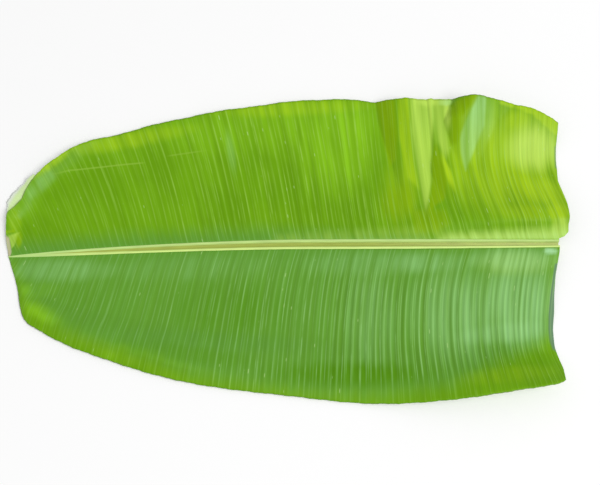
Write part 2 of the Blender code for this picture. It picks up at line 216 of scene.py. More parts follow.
def crossing_shares(start, run, line):
    """For each vein piece, how far along it the line is first crossed; infinite where it isn't."""
    before = line[:-1]
    along = line[1:] - before
    gap = before[None] - start[:, None]
    cross = run[:, None, 0] * along[None, :, 1] - run[:, None, 1] * along[None, :, 0]
    with np.errstate(divide="ignore", invalid="ignore"):
        on_vein = (gap[..., 0] * along[None, :, 1] - gap[..., 1] * along[None, :, 0]) / cross
        on_line = (gap[..., 0] * run[:, None, 1] - gap[..., 1] * run[:, None, 0]) / cross
    met = (on_vein >= 0) & (on_vein <= 1) & (on_line >= 0) & (on_line <= 1)
    return np.where(met, on_vein, np.inf).min(axis=1)


def vein_reach(roots, side, step=0.005, beyond=0.25):
    """How far from the midrib the side vein from each root meets the margin."""
    reach = np.full(len(roots), np.inf)
    for distance in np.arange(0.0, beyond, step):
        inner = vein_points(roots, distance, side)
        outer = vein_points(roots, distance + step, side)
        share = crossing_shares(inner, outer - inner, MARGIN_LINE[side])
        reach = np.minimum(reach, distance + step * share)
    return reach


sample_roots = np.array([0.1, 0.3, 0.5])
print("far veins reach", vein_reach(sample_roots, FAR).round(3))
print("near veins reach", vein_reach(sample_roots, NEAR).round(3))

# %% [markdown]
# ## How the leaf lies
# A fresh leaf is springy and waxy, and doesn't lie quite flat. Near the tip it lies like a very low roof.
# At the cut end both halves roll up along their margins, and the far half has three wrinkles that open
# towards the margin. The far corner of the tip curls up a little.
#
# Cloth simulation could drop a flat leaf on the table, but its folds would fall anywhere. Here the folds
# have to lie where the real ones do, so the heights come from the same tables as the CAD part's.

# %% Tables of heights
# The midrib, by distance from the tip: its half width, and how deep it hangs below the blade.
MIDRIB_HALF_WIDTH = [
    (0.0, 0.0009), (0.020, 0.0021), (0.060, 0.0036), (0.150, 0.0052), (0.300, 0.0064), (0.450, 0.0067),
    (0.560, 0.0062), (0.730, 0.0046),
]
MIDRIB_DEPTH = [(0.0, 0.0005), (0.10, 0.0032), (0.30, 0.0070), (0.50, 0.0095), (0.73, 0.0118)]
FULL_ROOF_REACH = 0.10  # added heights are smaller where the side veins are shorter than this
LEAST_REACH = 0.0098
# Towards the tip each half is a low roof: (share of the way out, share of the midrib's depth, height added).
ROOF = {
    FAR: [
        (0.0, 1.0, 0.0), (0.12, 0.75, 0.0), (0.35, 0.25, 0.0), (0.55, 0.0, 0.0), (0.78, 0.0, 0.0004),
        (1.0, 0.0, 0.005),
    ],
    NEAR: [
        (0.0, 1.0, 0.0), (0.15, 0.6, 0.0), (0.38, 0.2, 0.0), (0.56, 0.0, 0.0), (0.78, 0.0, 0.006),
        (1.0, 0.0, 0.0006),
    ],
}
# At the cut end it rolls: (distance from the midrib, share of the midrib's depth, height added).
ROLL = {
    FAR: [
        (0.0, 1.0, 0.0), (0.008, 1.0, 0.003), (0.022, 0.0, 0.024), (0.045, 0.0, 0.019),
        (0.075, 0.0, 0.008), (0.105, 0.0, 0.0), (0.125, 0.0, 0.003), (0.145, 0.0, 0.011),
        (0.165, 0.0, 0.021), (0.210, 0.0, 0.032),
    ],
    NEAR: [
        (0.0, 1.0, 0.0), (0.010, 1.0, 0.001), (0.030, 0.0, 0.009), (0.060, 0.0, 0.004),
        (0.095, 0.0, 0.0), (0.118, 0.0, 0.001), (0.135, 0.0, 0.008), (0.150, 0.0, 0.018),
        (0.172, 0.0, 0.033), (0.210, 0.0, 0.046),
    ],
}
ROLL_FROM_TO = {FAR: (0.45, 0.66), NEAR: (0.40, 0.65)}
# The tip's far margin curls up: its height, its width, and where along the leaf it fades out.
CURL_HEIGHT, CURL_WIDTH, CURL_FADES = 0.009, 0.024, (0.12, 0.05)
CURL_REACHES_FULL = 0.05
# Each wrinkle has rows of distance from the midrib, distance from the tip, height, and reach to each end.
FAR_WRINKLES = [
    [
        (0.055, 0.507, 0.0, 0.020, 0.004), (0.091, 0.503, 0.006, 0.030, 0.013),
        (0.134, 0.4976, 0.011, 0.036, 0.022), (0.172, 0.490, 0.014, 0.038, 0.033),
        (0.210, 0.485, 0.015, 0.036, 0.040),
    ],
    [
        (0.055, 0.549, 0.0, 0.020, 0.040), (0.100, 0.538, 0.007, 0.022, 0.040),
        (0.140, 0.526, 0.005, 0.008, 0.040), (0.210, 0.520, 0.003, 0.006, 0.030),
    ],
    [
        (0.110, 0.564, 0.0, 0.012, 0.014), (0.165, 0.557, 0.012, 0.022, 0.045),
        (0.210, 0.588, 0.017, 0.034, 0.070),
    ],
]
# The far half swells a little between the tip and the wrinkles.
SWELL_LENGTH, SWELL_RISE = 0.083, 0.0022
SWELL_FROM, SWELL_TO, SWELL_FADE = 0.16, 0.45, 0.06
print("wrinkles in the far half:", len(FAR_WRINKLES))


# %% The height at any point
def margin_gap(x, y, side):
    """The distance from each plan point to the nearest part of the margin."""
    line = MARGIN_LINE[side]
    before, run = line[:-1], np.diff(line, axis=0)
    nearest = np.full(len(x), np.inf)
    for start, along in zip(before, run):
        dx, dy = x - start[0], y - start[1]
        share = np.clip((dx * along[0] + dy * along[1]) / (along @ along), 0.0, 1.0)
        nearest = np.minimum(nearest, np.hypot(dx - along[0] * share, dy - along[1] * share))
    return nearest


def section_height(section, where, depth, fullness):
    """A cross-section's height over the table, from the midrib's depth and the height added."""
    share, added = smooth_mix(section, where).T
    return np.maximum(0.0, share * depth + added * fullness)


def wrinkle_height(x, distance):
    """The height that the far half's wrinkles add."""
    height = np.zeros_like(x)
    for crest in FAR_WRINKLES:
        middle, rise, tipward, cutward = straight_mix(crest, distance).T
        tip_side = 1 - np.minimum(1.0, np.abs(x - middle) / tipward) ** 2
        cut_side = np.maximum(0.0, 1 - (x - middle) / cutward)
        shape = np.where(x < middle, tip_side, cut_side)
        height += np.where(distance < crest[0][0], 0.0, rise * shape)
    return height


def blade_height(x, y, root, distance, reach, side):
    """How high the blade's underside lies over the table."""
    depth = smooth_mix(MIDRIB_DEPTH, root)[..., 0]
    fullness = np.minimum(1.0, reach / FULL_ROOF_REACH)
    beyond = np.maximum(0.0, distance - smooth_mix(MIDRIB_HALF_WIDTH, root)[..., 0])
    outward = np.minimum(1.0, beyond / np.maximum(reach, LEAST_REACH))
    rolled = smooth_step(*ROLL_FROM_TO[side], x)
    height = (1 - rolled) * section_height(ROOF[side], outward, depth, fullness)
    height += rolled * section_height(ROLL[side], beyond, depth, 1.0)
    if side == NEAR:
        return height
    swell = smooth_step(SWELL_FROM, SWELL_FROM + SWELL_FADE, x)
    swell *= smooth_step(SWELL_TO, SWELL_TO - SWELL_FADE, x)
    height += SWELL_RISE * swell * outward**2 * (1 - np.cos(math.tau * root / SWELL_LENGTH)) / 2
    curl = smooth_step(*CURL_FADES, x) * np.minimum(1.0, distance / CURL_REACHES_FULL)
    inward = np.minimum(1.0, margin_gap(x, y, FAR) / CURL_WIDTH)
    height += CURL_HEIGHT * curl * (1 - inward) ** 2
    return height + wrinkle_height(x, distance)


# %% [markdown]
# ## The side veins
# A banana leaf has fine parallel side veins, about 9 mm apart in its middle and nearer to each other at
# the cut end. The skin between two veins is a long narrow strip. Each strip lies at its own slight tilt,
# which gives the leaf its silky look, and in the lower right the strips stand up as strong corrugation.
#
# The veins could be a bump in the material alone. They are real folds here, because the corrugation shows
# on the outline of the cut and in the highlights, and a mesh export keeps it.

# %% Vein numbers and their relief
VEIN_PITCH = [
    (0.0, 0.0081), (0.15, 0.0091), (0.30, 0.0091), (0.39, 0.0088), (0.45, 0.0088), (0.505, 0.0083),
    (0.555, 0.0079), (0.595, 0.0076), (0.620, 0.0063), (0.650, 0.0057), (0.735, 0.0054),
]
COLUMNS_PER_VEIN = 8
ROOT_END = 0.718  # the grid runs past the cut, which then trims it
SCALE_STEPS = 2000  # places between which the veins are counted

root_scale = np.linspace(0.0, ROOT_END, SCALE_STEPS)
vein_scale = np.concatenate(
    [[0.0], np.cumsum(np.diff(root_scale) / straight_mix(VEIN_PITCH, root_scale[1:])[:, 0])]
)
VEINS = int(vein_scale[-1])


def vein_number(root):
    """The number of side veins between the tip and a root."""
    return np.interp(root, root_scale, vein_scale)


print(VEINS, "side veins in each half")

# %% Folds and tilts between the veins
STRIP_SEED = 7
WEAKEST_STRIP = 0.35
STRIPS = VEINS + 3
strips = np.random.default_rng(STRIP_SEED)
STRIP_LEVEL = strips.uniform(-1.0, 1.0, STRIPS)
STRIP_TILT = strips.uniform(-1.0, 1.0, STRIPS)
STRIP_STRENGTH = strips.uniform(WEAKEST_STRIP, 1.0, STRIPS)
# In each half: the folds' least height and how much higher they can be, then the places along the leaf and
# the distances from the midrib between which they rise.
FAR_FOLDS, FAR_FOLDS_FROM, FAR_FOLDS_OUT = (0.00010, 0.00012), (0.48, 0.60), (0.02, 0.05)
NEAR_FOLDS, NEAR_FOLDS_FROM, NEAR_FOLDS_OUT = (0.00012, 0.00048), (0.30, 0.50), (0.0, 0.05)
NEAR_FOLDS_END = (0.18, 0.13)
STRIP_LEVELS, STRIP_TILTS = 0.00014, 0.0003
TILT_WAVE, TILT_SHIFT = 21.0, 3.0  # a tilt comes and goes on its way to the margin
RELIEF_FADE = 0.02  # all the relief fades out over this distance towards the midrib


def corrugation_rise(x, distance, side):
    """How high the folds between the veins stand."""
    if side == FAR:
        rise = smooth_step(*FAR_FOLDS_FROM, x) * smooth_step(*FAR_FOLDS_OUT, distance)
        return FAR_FOLDS[0] + FAR_FOLDS[1] * rise
    rise = smooth_step(*NEAR_FOLDS_FROM, x) * smooth_step(*NEAR_FOLDS_OUT, distance)
    rise *= smooth_step(*NEAR_FOLDS_END, distance)
    return NEAR_FOLDS[0] + NEAR_FOLDS[1] * rise


def vein_relief(x, root, distance, side):
    """The fine relief of the side veins and of the strips between them."""
    number = vein_number(root)
    strip = np.floor(number).astype(int)
    place = number - strip
    strength = np.interp(number, np.arange(len(STRIP_STRENGTH)), STRIP_STRENGTH)
    fold = (1 + np.cos(math.tau * place)) / 2
    level = np.interp(number, np.arange(len(STRIP_LEVEL)), STRIP_LEVEL)
    sway = (1 + np.sin(TILT_WAVE * distance + TILT_SHIFT * STRIP_LEVEL[strip])) / 2
    tilt = STRIP_TILT[strip] * (place - place**2) * sway
    folds = corrugation_rise(x, distance, side) * strength * fold
    return smooth_step(0.0, RELIEF_FADE, distance) * (folds + STRIP_LEVELS * level + STRIP_TILTS * tilt)


print("the strongest folds stand", round(sum(NEAR_FOLDS), 5), "m high")

# %% [markdown]
# ## The two blade halves
# Each half is one thin sheet, 0.6 mm thick. It starts as a grid whose columns run along the side veins, is
# trimmed with a bisect where the knife cut it, and is then lifted to its heights. Solidify gives it its
# underside and its cut edge, each with a finish of its own.
#
# A bisect cuts along a flat plane, and the knife strayed, so the sheet is first sheared by as much as the
# knife strayed, cut square and sheared back. A boolean with a wavy block could cut it too, but would leave
# long thin faces along the cut.


# %% Small helpers for modelling
def deselect_all():
    """Leaves no object selected or active, because an operator acts on all that is selected."""
    if bpy.context.object and bpy.context.object.mode != "OBJECT":
        bpy.ops.object.mode_set(mode="OBJECT")
    bpy.ops.object.select_all(action="DESELECT")


def read_places(piece):
    """The piece's vertices as an array."""
    places = np.empty(len(piece.data.vertices) * 3, np.float32)
    piece.data.vertices.foreach_get("co", places)
    return places.reshape(-1, 3).astype(float)


def move_vertices(piece, places):
    """Moves the piece's vertices to the places in the array."""
    piece.data.vertices.foreach_set("co", places.astype(np.float32).ravel())
    piece.data.update()


def keep_values(piece, name, values):
    """Keeps three numbers at each vertex, which a material can read by that name."""
    kept = piece.data.attributes.new(name, "FLOAT_VECTOR", "POINT")
    kept.data.foreach_set("vector", values.astype(np.float32).ravel())


# %% Lay out a half
ROWS = 58
UNDER_THE_RAIL = 0.88  # share of the midrib's half width at which the blade starts
RAGGED = 0.00045  # the small unevenness of the margin
RAGGED_WAVES = [(1.0, 210, 1.0), (0.7, 523, 0.0), (0.5, 1130, 2.0)]  # (share, radians to a metre, start)
RAGGED_FROM = 0.05  # the margin is smooth round the tip
HALF_NAMES = {FAR: "leaf_blade_far", NEAR: "leaf_blade_near"}


def ragged_edge(root):
    """How far the margin strays from its smooth line."""
    return RAGGED / 2 * sum(share * np.sin(root * wave + start) for share, wave, start in RAGGED_WAVES)


def flat_half(side):
    """One half of the blade laid flat, from its place under the midrib's rail to the margin."""
    columns = VEINS * COLUMNS_PER_VEIN
    deselect_all()
    bpy.ops.mesh.primitive_grid_add(x_subdivisions=columns, y_subdivisions=ROWS, size=1.0)
    half = bpy.context.object
    half.name = half.data.name = HALF_NAMES[side]
    places = read_places(half)
    column = np.rint((places[:, 0] + 0.5) * columns)
    row = np.rint((places[:, 1] + 0.5) * ROWS)
    roots = np.interp(np.arange(columns + 1) / COLUMNS_PER_VEIN, vein_scale, root_scale)
    reach = np.concatenate([[0.0], vein_reach(roots[1:], side)])
    reach = np.maximum(0.0, reach + ragged_edge(roots) * smooth_step(0.0, RAGGED_FROM, roots))
    index = column.astype(int)
    root = roots[index]
    inner = UNDER_THE_RAIL * smooth_mix(MIDRIB_HALF_WIDTH, root)[:, 0] * (column > 0)
    share = row / ROWS if side == FAR else 1 - row / ROWS
    distance = inner + np.maximum(0.0, reach[index] - inner) * share
    places[:, 0] = root - vein_drift(root, distance, side)
    places[:, 1] = midrib_line(root) + side * distance
    move_vertices(half, places)
    return half, np.column_stack([roots, reach])


# %% Trim a half at the cut
MERGE_DISTANCE = 0.00003  # the columns run together at the tip


def trim_at_cut(half):
    """Cuts the half across at its thick end, along the knife's stray line."""
    places = read_places(half)
    places[:, 0] -= straight_mix(CUT_LINE, places[:, 1])[:, 0]
    move_vertices(half, places)
    bpy.ops.object.mode_set(mode="EDIT")
    bpy.ops.mesh.select_all(action="SELECT")
    bpy.ops.mesh.remove_doubles(threshold=MERGE_DISTANCE)
    bpy.ops.mesh.select_all(action="SELECT")
    bpy.ops.mesh.bisect(plane_co=(MIDRIB_LENGTH, 0, 0), plane_no=(1, 0, 0), clear_outer=True)
    bpy.ops.object.mode_set(mode="OBJECT")
    places = read_places(half)
    places[:, 0] += straight_mix(CUT_LINE, places[:, 1])[:, 0]
    move_vertices(half, places)


# %% [markdown]
# ## The fold line
# A young banana leaf is rolled up tightly in itself. One turn of that roll left a faint pale line on the far
# half, a little inside the margin.
#
# It is only a line of colour, too shallow to be modelled. An image could hold it, but a few points are
# enough: each vertex keeps its distance to the line through them, and the finish draws it.

# %% Where the fold line runs
# Points of the line: (along the midrib, to the far side).
CREASE = [
    (0.020, 0.0830), (0.040, 0.0930), (0.063, 0.1010), (0.094, 0.1050), (0.133, 0.1100),
    (0.160, 0.1125), (0.182, 0.1210), (0.215, 0.1265), (0.250, 0.1315),
]


def crease_gap(x, y):
    """How far each plan point lies to the far side of the fold line where the young leaf was rolled."""
    return y - straight_mix(CREASE, x)[:, 0]


print("the fold line runs from", CREASE[0][0], "to", CREASE[-1][0], "m along the leaf")

# %% Raise and thicken a half
BLADE_THICK = 0.0006
UPPER_SIDE_RISE = 0.0012  # of the upper side over the CAD part's underside
UNDER_FINISH, EDGE_FINISH = 1, 2  # places in the half's list of finishes, after the upper side


def raise_half(half, reach_table, side):
    """Lifts the trimmed half to its heights and keeps each vertex's place on the leaf."""
    places = read_places(half)
    x, y = places[:, 0], places[:, 1]
    root, distance = vein_place(x, y, side)
    reach = np.interp(root, reach_table[:, 0], reach_table[:, 1])
    relief = vein_relief(x, root, distance, side)
    places[:, 2] = blade_height(x, y, root, distance, reach, side) + UPPER_SIDE_RISE + relief
    to_margin, to_crease = margin_gap(x, y, side) / MM, crease_gap(x, y) / MM
    keep_values(half, "vein_place", np.column_stack([vein_number(root), distance / CM, to_margin]))
    keep_values(half, "plan_place", np.column_stack([x, y, to_crease]))
    places[:, 0] -= PLAN_MIDDLE[0]
    places[:, 1] -= PLAN_MIDDLE[1]
    move_vertices(half, places)


def thicken(half):
    """Gives the half its underside and edge, with the second and third finish."""
    wall = half.modifiers.new("thickness", "SOLIDIFY")
    wall.thickness = BLADE_THICK
    wall.offset = -1.0  # all the thickness lies under the upper side
    wall.material_offset = UNDER_FINISH
    wall.material_offset_rim = EDGE_FINISH
    deselect_all()
    half.select_set(True)
    bpy.context.view_layer.objects.active = half
    bpy.ops.object.modifier_apply(modifier=wall.name)
    bpy.ops.object.shade_smooth()


blade_halves = {}
for side in (FAR, NEAR):
    half, reach_table = flat_half(side)
    trim_at_cut(half)
    raise_half(half, reach_table, side)
    blade_halves[side] = half
    print(half.name, "has", len(half.data.polygons), "faces on its upper side")

# %% [markdown]
# ## Finishes made of nodes
# The upper side of a fresh leaf is a strong yellow-green with a thin waxy gloss. The underside is paler and
# duller with a bloom of wax, and the cut edge shows the pale flesh. Their patterns follow the side veins.
#
# A picture could be wrapped round the leaf, but nodes stay sharp at any distance. They read the vein number
# and the distances that were kept at each vertex, so the pattern follows the veins wherever they bend. A
# small class holds one material and makes its nodes by short calls.


# %% A class for finishes
COLOUR_MIX_INPUTS = (0, 6, 7)  # a Mix node's share and its two colours
COLOUR_MIX_OUTPUT = 2
PLAIN_SPECULAR = 0.5


class Finish:
    """A material whose nodes are made by short calls; each gives an output to use in the next."""

    def __init__(self, name):
        self.material = bpy.data.materials.new(name)
        self.material.use_nodes = True
        self.tree = self.material.node_tree
        self.shader = self.tree.nodes["Principled BSDF"]

    def feed(self, socket, value):
        """Sets a socket to a number or colour, or links it to another node's output."""
        if isinstance(value, bpy.types.NodeSocket):
            self.tree.links.new(value, socket)
        else:
            socket.default_value = value

    def node(self, kind, inputs, output=0, **settings):
        """Makes a node, sets it up and feeds its inputs, and gives one of its outputs."""
        made = self.tree.nodes.new("ShaderNode" + kind)
        for name, value in settings.items():
            setattr(made, name, value)
        for socket, value in inputs.items():
            self.feed(made.inputs[socket], value)
        return made.outputs[output]

    def maths(self, operation, *values, clamp=False):
        return self.node("Math", dict(enumerate(values)), operation=operation, use_clamp=clamp)

    def plus(self, first, second):
        return self.maths("ADD", first, second)

    def times(self, product, *values):
        for value in values:
            product = self.maths("MULTIPLY", product, value)
        return product

    def remap(self, value, low, high, to_low=0.0, to_high=1.0, soft=True):
        """The range from low to high made into another range, with soft or straight ends."""
        inputs = {"Value": value, "From Min": low, "From Max": high, "To Min": to_low, "To Max": to_high}
        return self.node("MapRange", inputs, interpolation_type="SMOOTHSTEP" if soft else "LINEAR")

    def mix(self, share, first, second, blend="MIX"):
        """Two colours mixed by the share of the second."""
        inputs = dict(zip(COLOUR_MIX_INPUTS, (share, first, second)))
        return self.node("Mix", inputs, COLOUR_MIX_OUTPUT, data_type="RGBA", blend_type=blend)

    def place(self, x, y, z=0.0):
        return self.node("CombineXYZ", {0: x, 1: y, 2: z})

    def shaded(self, colour, shade):
        """The colour made lighter or darker by a number near 1."""
        return self.mix(1.0, colour, self.place(shade, shade, shade), "MULTIPLY")

    def noise(self, place, scale=1.0, detail=2.0, roughness=0.5):
        inputs = {"Vector": place, "Scale": scale, "Detail": detail, "Roughness": roughness}
        return self.node("TexNoise", inputs, "Fac")

    def vein_noise(self, number, out, across_scale, out_scale, layer, detail, roughness):
        """A noise that is drawn out along the side veins."""
        place = self.place(self.times(number, across_scale), self.times(out, out_scale), layer)
        return self.noise(place, 1.0, detail, roughness)

    def by_number(self, value):
        """The same random number wherever the value is the same."""
        return self.node("TexWhiteNoise", {"W": value}, "Value", noise_dimensions="1D")

    def line(self, number, thin, wide, strength=1.0):
        """A line wherever the number is whole, fading out from thin to wide on both sides."""
        return self.remap(self.maths("PINGPONG", number, 0.5), thin, wide, strength, 0.0)

    def kept(self, name):
        """The three numbers that were kept at the vertices under that name."""
        parts = self.tree.nodes.new("ShaderNodeSeparateXYZ")
        self.feed(parts.inputs[0], self.node("Attribute", {}, "Vector", attribute_name=name))
        return parts.outputs

    def bump(self, height, strength, distance):
        """Lets the light see the surface higher where the height is greater."""
        inputs = {"Height": height, "Strength": strength, "Distance": distance}
        self.feed(self.shader.inputs["Normal"], self.node("Bump", inputs))

    def done(self, colour, roughness, specular=PLAIN_SPECULAR):
        """Feeds the shader and gives the finished material."""
        self.feed(self.shader.inputs["Base Color"], colour)
        self.feed(self.shader.inputs["Roughness"], roughness)
        self.feed(self.shader.inputs["Specular IOR Level"], specular)
        return self.material


print("a finish has the calls", [name for name in vars(Finish) if not name.startswith("_")])

# %% [markdown]
# ## The green upper side
# Over a mottled green lie patches of tone, some of them painted light and shade, whose edges break up into
# streaks along the veins. Each side vein shows as a pale line, some strong and some hardly there. Finer lines
# run between them and fade in and out, with a few short light flecks. Where the folds stand high, each is
# painted lighter by its ridge and darker in its groove, as painted light and shade. The outermost millimetre
# of the margin is brown in places.
#
# The lines could be drawn on the mesh, but they are finer than its faces. One line is made where the vein
# number is whole, so a single node draws all of them.

# %% Tones and colours of the upper side
# Eleven covers are kept at the vertices, up to three under each name. Ten of them mix a tone over the green,
# in the order of the colours below, and "lined" is how clearly the folds and their lines show, with the
# folds' painted light and shade. The waxy-looking, minty and pale tones are painted sheen and highlights
# where a face catches the light, the olive tone is painted shade where a face leans away, the dark tone along
# the cut is painted shade on the bent-down cut edge, and blue and yellow are partly painted light.
TONES = {
    "leaf_tone": ("fresh", "blue", "yellow"),
    "leaf_sheen_and_shade": ("waxy", "mint", "olive"),
    "leaf_highlight_wear_and_lines": ("pale", "withered", "lined"),
    "leaf_shade": ("shade", "dry"),
}
TONE_COLOURS = {
    "fresh": (0.289, 0.639, 0.0130, 1.0),
    # bluer green, partly the leaf's own and partly painted sheen in the near half
    "blue": (0.116, 0.317, 0.0305, 1.0),
    # yellower green, partly the margins' own and partly painted light on lifted faces
    "yellow": (0.421, 0.656, 0.0119, 1.0),
    # painted sheen where a face lifts towards the light
    "waxy": (0.480, 0.712, 0.0945, 1.0),
    # painted minty sheen, a reflection of the light
    "mint": (0.399, 0.760, 0.3221, 1.0),
    # painted shade where a face leans away from the light
    "olive": (0.230, 0.424, 0.0004, 1.0),
    "shade": (0.085, 0.263, 0.0011, 1.0),
    # painted highlight
    "pale": (0.420, 0.760, 0.3800, 1.0),
    # painted shade on the cut edge, which bends down away from the light
    "dry": (0.140, 0.255, 0.1400, 1.0),
    "withered": (0.470, 0.450, 0.2700, 1.0),
}
DEEP_GREEN = (0.111, 0.288, 0.0003, 1.0)
VEIN_GREEN = (0.340, 0.600, 0.090, 1.0)
VEIN_MINT = (0.280, 0.560, 0.180, 1.0)
FLECK_GREEN = (0.480, 0.700, 0.260, 1.0)
CREASE_GREEN = (0.280, 0.500, 0.050, 1.0)
MARGIN_BROWN = (0.200, 0.210, 0.110, 1.0)
print("tones:", list(TONE_COLOURS))

# %% Measures of the upper side's pattern
# Noise along the veins: (scale from vein to vein, scale outward, layer, detail, roughness).
CLOUDS = (0.16, 0.12, 5.0, 3.0, 0.5)
STREAKS = (3.4, 0.08, 0.0, 2.0, 0.6)
BANDS = (0.9, 0.06, 9.0, 2.0, 0.5)
VEIN_BREAKS = (3.7, 0.22, 0.0, 3.0, 0.5)
WANDER = (0.50, 0.015, 3.0, 0.0, 0.5)
FADING = (0.8, 0.30, 17.0, 2.0, 0.5)
DASHES = (5.3, 0.60, 0.0, 1.0, 0.5)
# Widths of lines: (share of the spacing to which a line is full, share at which it has gone).
VEIN_WIDTH, FINE_WIDTH, DASH_WIDTH = (0.02, 0.16), (0.03, 0.17), (0.04, 0.16)
# Ranges: (from low, from high), or with what they are made into, (from low, from high, to low, to high).
CLOUD_SHARE = (0.36, 0.68, 0.15, 0.29)
GRAIN = (0.3, 0.7, -0.9, 0.9)
STREAK_SHADE = (0.3, 0.7, 0.965, 1.035)
BAND_SHADE = (0.3, 0.7, -0.04, 0.04)
# painted light by a fold's ridge and painted shade in its groove
FOLD_SHADE = (0.0, 1.0, 0.10, -0.16)
UNBROKEN = (0.38, 0.62)
VEIN_SHARE = (0.0, 1.0, 0.22, 0.80)
FADING_SHARE = (0.36, 0.62, 0.12, 0.60)
FINE_STRENGTH = (0.0, 1.0, 0.35, 1.0)
FINE_WHERE_LINED = (0.05, 0.45, 0.40, 1.0)
DASH_SHARE = (0.69, 0.76, 0.0, 0.55)
BROWN_WIDTH = (0.3, 1.1, 0.6, 0.0)
BROWN_PLACES = (0.40, 0.6)
UPPER_ROUGHNESS = (0.25, 0.75, 0.36, 0.50)
# The fold line: its width in millimetres, and where along the leaf its two stretches start and end.
CREASE_WIDTH = (0.4, 1.7, 0.60, 0.0)
CREASE_STARTS, FIRST_STRETCH_ENDS = (0.035, 0.075), (0.148, 0.160, 1.0, 0.0)
SECOND_STRETCH_STARTS, CREASE_ENDS = (0.182, 0.192, 0.0, 0.7), (0.215, 0.240, 1.0, 0.0)
FOLD_MIDDLE = 0.62  # where between two side veins the groove is deepest
LEAST_WHERE_LINED = 0.55
FINE_PER_VEIN, WANDER_REACH = 1.45, 1.6
DASH_LINES_PER_VEIN = 2.0
UPPER_SPECULAR, UPPER_BUMP, UPPER_BUMP_DISTANCE = 0.10, 0.30, 0.0004
LINE_RISE, STREAK_RISE = 0.5, 0.6
print("main lines fade out over", VEIN_WIDTH[1], "of the spacing between two side veins")


# %% Tones and shade of the upper side
def tone_covers(leaf):
    """How strongly each tone covers a place, by the tone's name."""
    covers = {}
    for name, tones in TONES.items():
        covers.update(zip(tones, leaf.kept(name)))
    return covers


def broken(leaf, cover, grain):
    """A cover whose soft edge is broken up into streaks."""
    soft = leaf.times(cover, leaf.maths("SUBTRACT", 1.0, cover))
    return leaf.maths("ADD", cover, leaf.times(soft, grain), clamp=True)


def toned(leaf, covers, clouds, bands):
    """The mottled green with the patches of tone over it."""
    base = leaf.mix(leaf.remap(clouds, *CLOUD_SHARE), DEEP_GREEN, TONE_COLOURS["fresh"])
    grain = leaf.remap(bands, *GRAIN, soft=False)
    for tone, colour in TONE_COLOURS.items():
        base = leaf.mix(broken(leaf, covers[tone], grain), base, colour)
    return base


def streaks_and_fold_light(leaf, base, number, lined, streaks, bands):
    """The base in lighter and darker streaks, with painted light by the ridge of each high fold and painted
    shade in its groove.
    """
    place = leaf.maths("FRACT", number)
    falling = leaf.remap(place, 0.0, FOLD_MIDDLE)
    groove = leaf.times(falling, leaf.remap(place, FOLD_MIDDLE, 1.0, 1.0, 0.0))
    # painted light and shade across each high fold, strongest where it is lined
    fold_shade = leaf.times(leaf.remap(groove, *FOLD_SHADE, soft=False), lined, lined)
    shade = leaf.plus(leaf.remap(streaks, *STREAK_SHADE), leaf.remap(bands, *BAND_SHADE))
    return leaf.shaded(base, leaf.plus(shade, fold_shade))


# %% Lines of the upper side
def vein_lines(leaf, base, number, out, lined, colour):
    """Pale lines along the side veins, each of its own strength and broken up on its way."""
    vein = leaf.maths("ROUND", number)
    unbroken = leaf.remap(leaf.vein_noise(vein, out, *VEIN_BREAKS), *UNBROKEN)
    strength = leaf.times(leaf.by_number(vein), unbroken)
    strength = leaf.maths("MAXIMUM", strength, leaf.times(lined, LEAST_WHERE_LINED))
    most = leaf.remap(lined, *VEIN_SHARE, soft=False)
    return leaf.mix(leaf.times(leaf.line(number, *VEIN_WIDTH), strength, most), base, colour)


def fine_lines(leaf, base, number, out, lined, colour):
    """Finer lines that wander a little between the veins and fade in and out."""
    wander = leaf.vein_noise(number, out, *WANDER)
    fine = leaf.plus(leaf.times(number, FINE_PER_VEIN), leaf.times(wander, WANDER_REACH))
    share = leaf.times(
        leaf.line(fine, *FINE_WIDTH),
        leaf.remap(leaf.vein_noise(number, out, *FADING), *FADING_SHARE),
        leaf.remap(leaf.by_number(leaf.maths("ROUND", fine)), *FINE_STRENGTH, soft=False),
        leaf.remap(lined, *FINE_WHERE_LINED),
    )
    return leaf.mix(share, base, colour)


def flecks(leaf, base, number, out):
    """Short light flecks, on the veins and halfway between them."""
    dash_line = leaf.times(number, DASH_LINES_PER_VEIN)
    dashes = leaf.vein_noise(leaf.maths("ROUND", dash_line), out, *DASHES)
    share = leaf.times(leaf.line(dash_line, *DASH_WIDTH), leaf.remap(dashes, *DASH_SHARE))
    return leaf.mix(share, base, FLECK_GREEN)


def fold_line(leaf, base, along, to_crease):
    """The faint fold line, in the two stretches where it shows."""
    first, second = leaf.remap(along, *FIRST_STRETCH_ENDS), leaf.remap(along, *SECOND_STRETCH_STARTS)
    share = leaf.times(
        leaf.remap(leaf.maths("ABSOLUTE", to_crease), *CREASE_WIDTH),
        leaf.remap(along, *CREASE_STARTS),
        leaf.maths("MAXIMUM", first, second),
        leaf.remap(along, *CREASE_ENDS),
    )
    return leaf.mix(share, base, CREASE_GREEN)


def brown_margin(leaf, base, to_margin, clouds):
    share = leaf.times(leaf.remap(to_margin, *BROWN_WIDTH), leaf.remap(clouds, *BROWN_PLACES))
    return leaf.mix(share, base, MARGIN_BROWN)


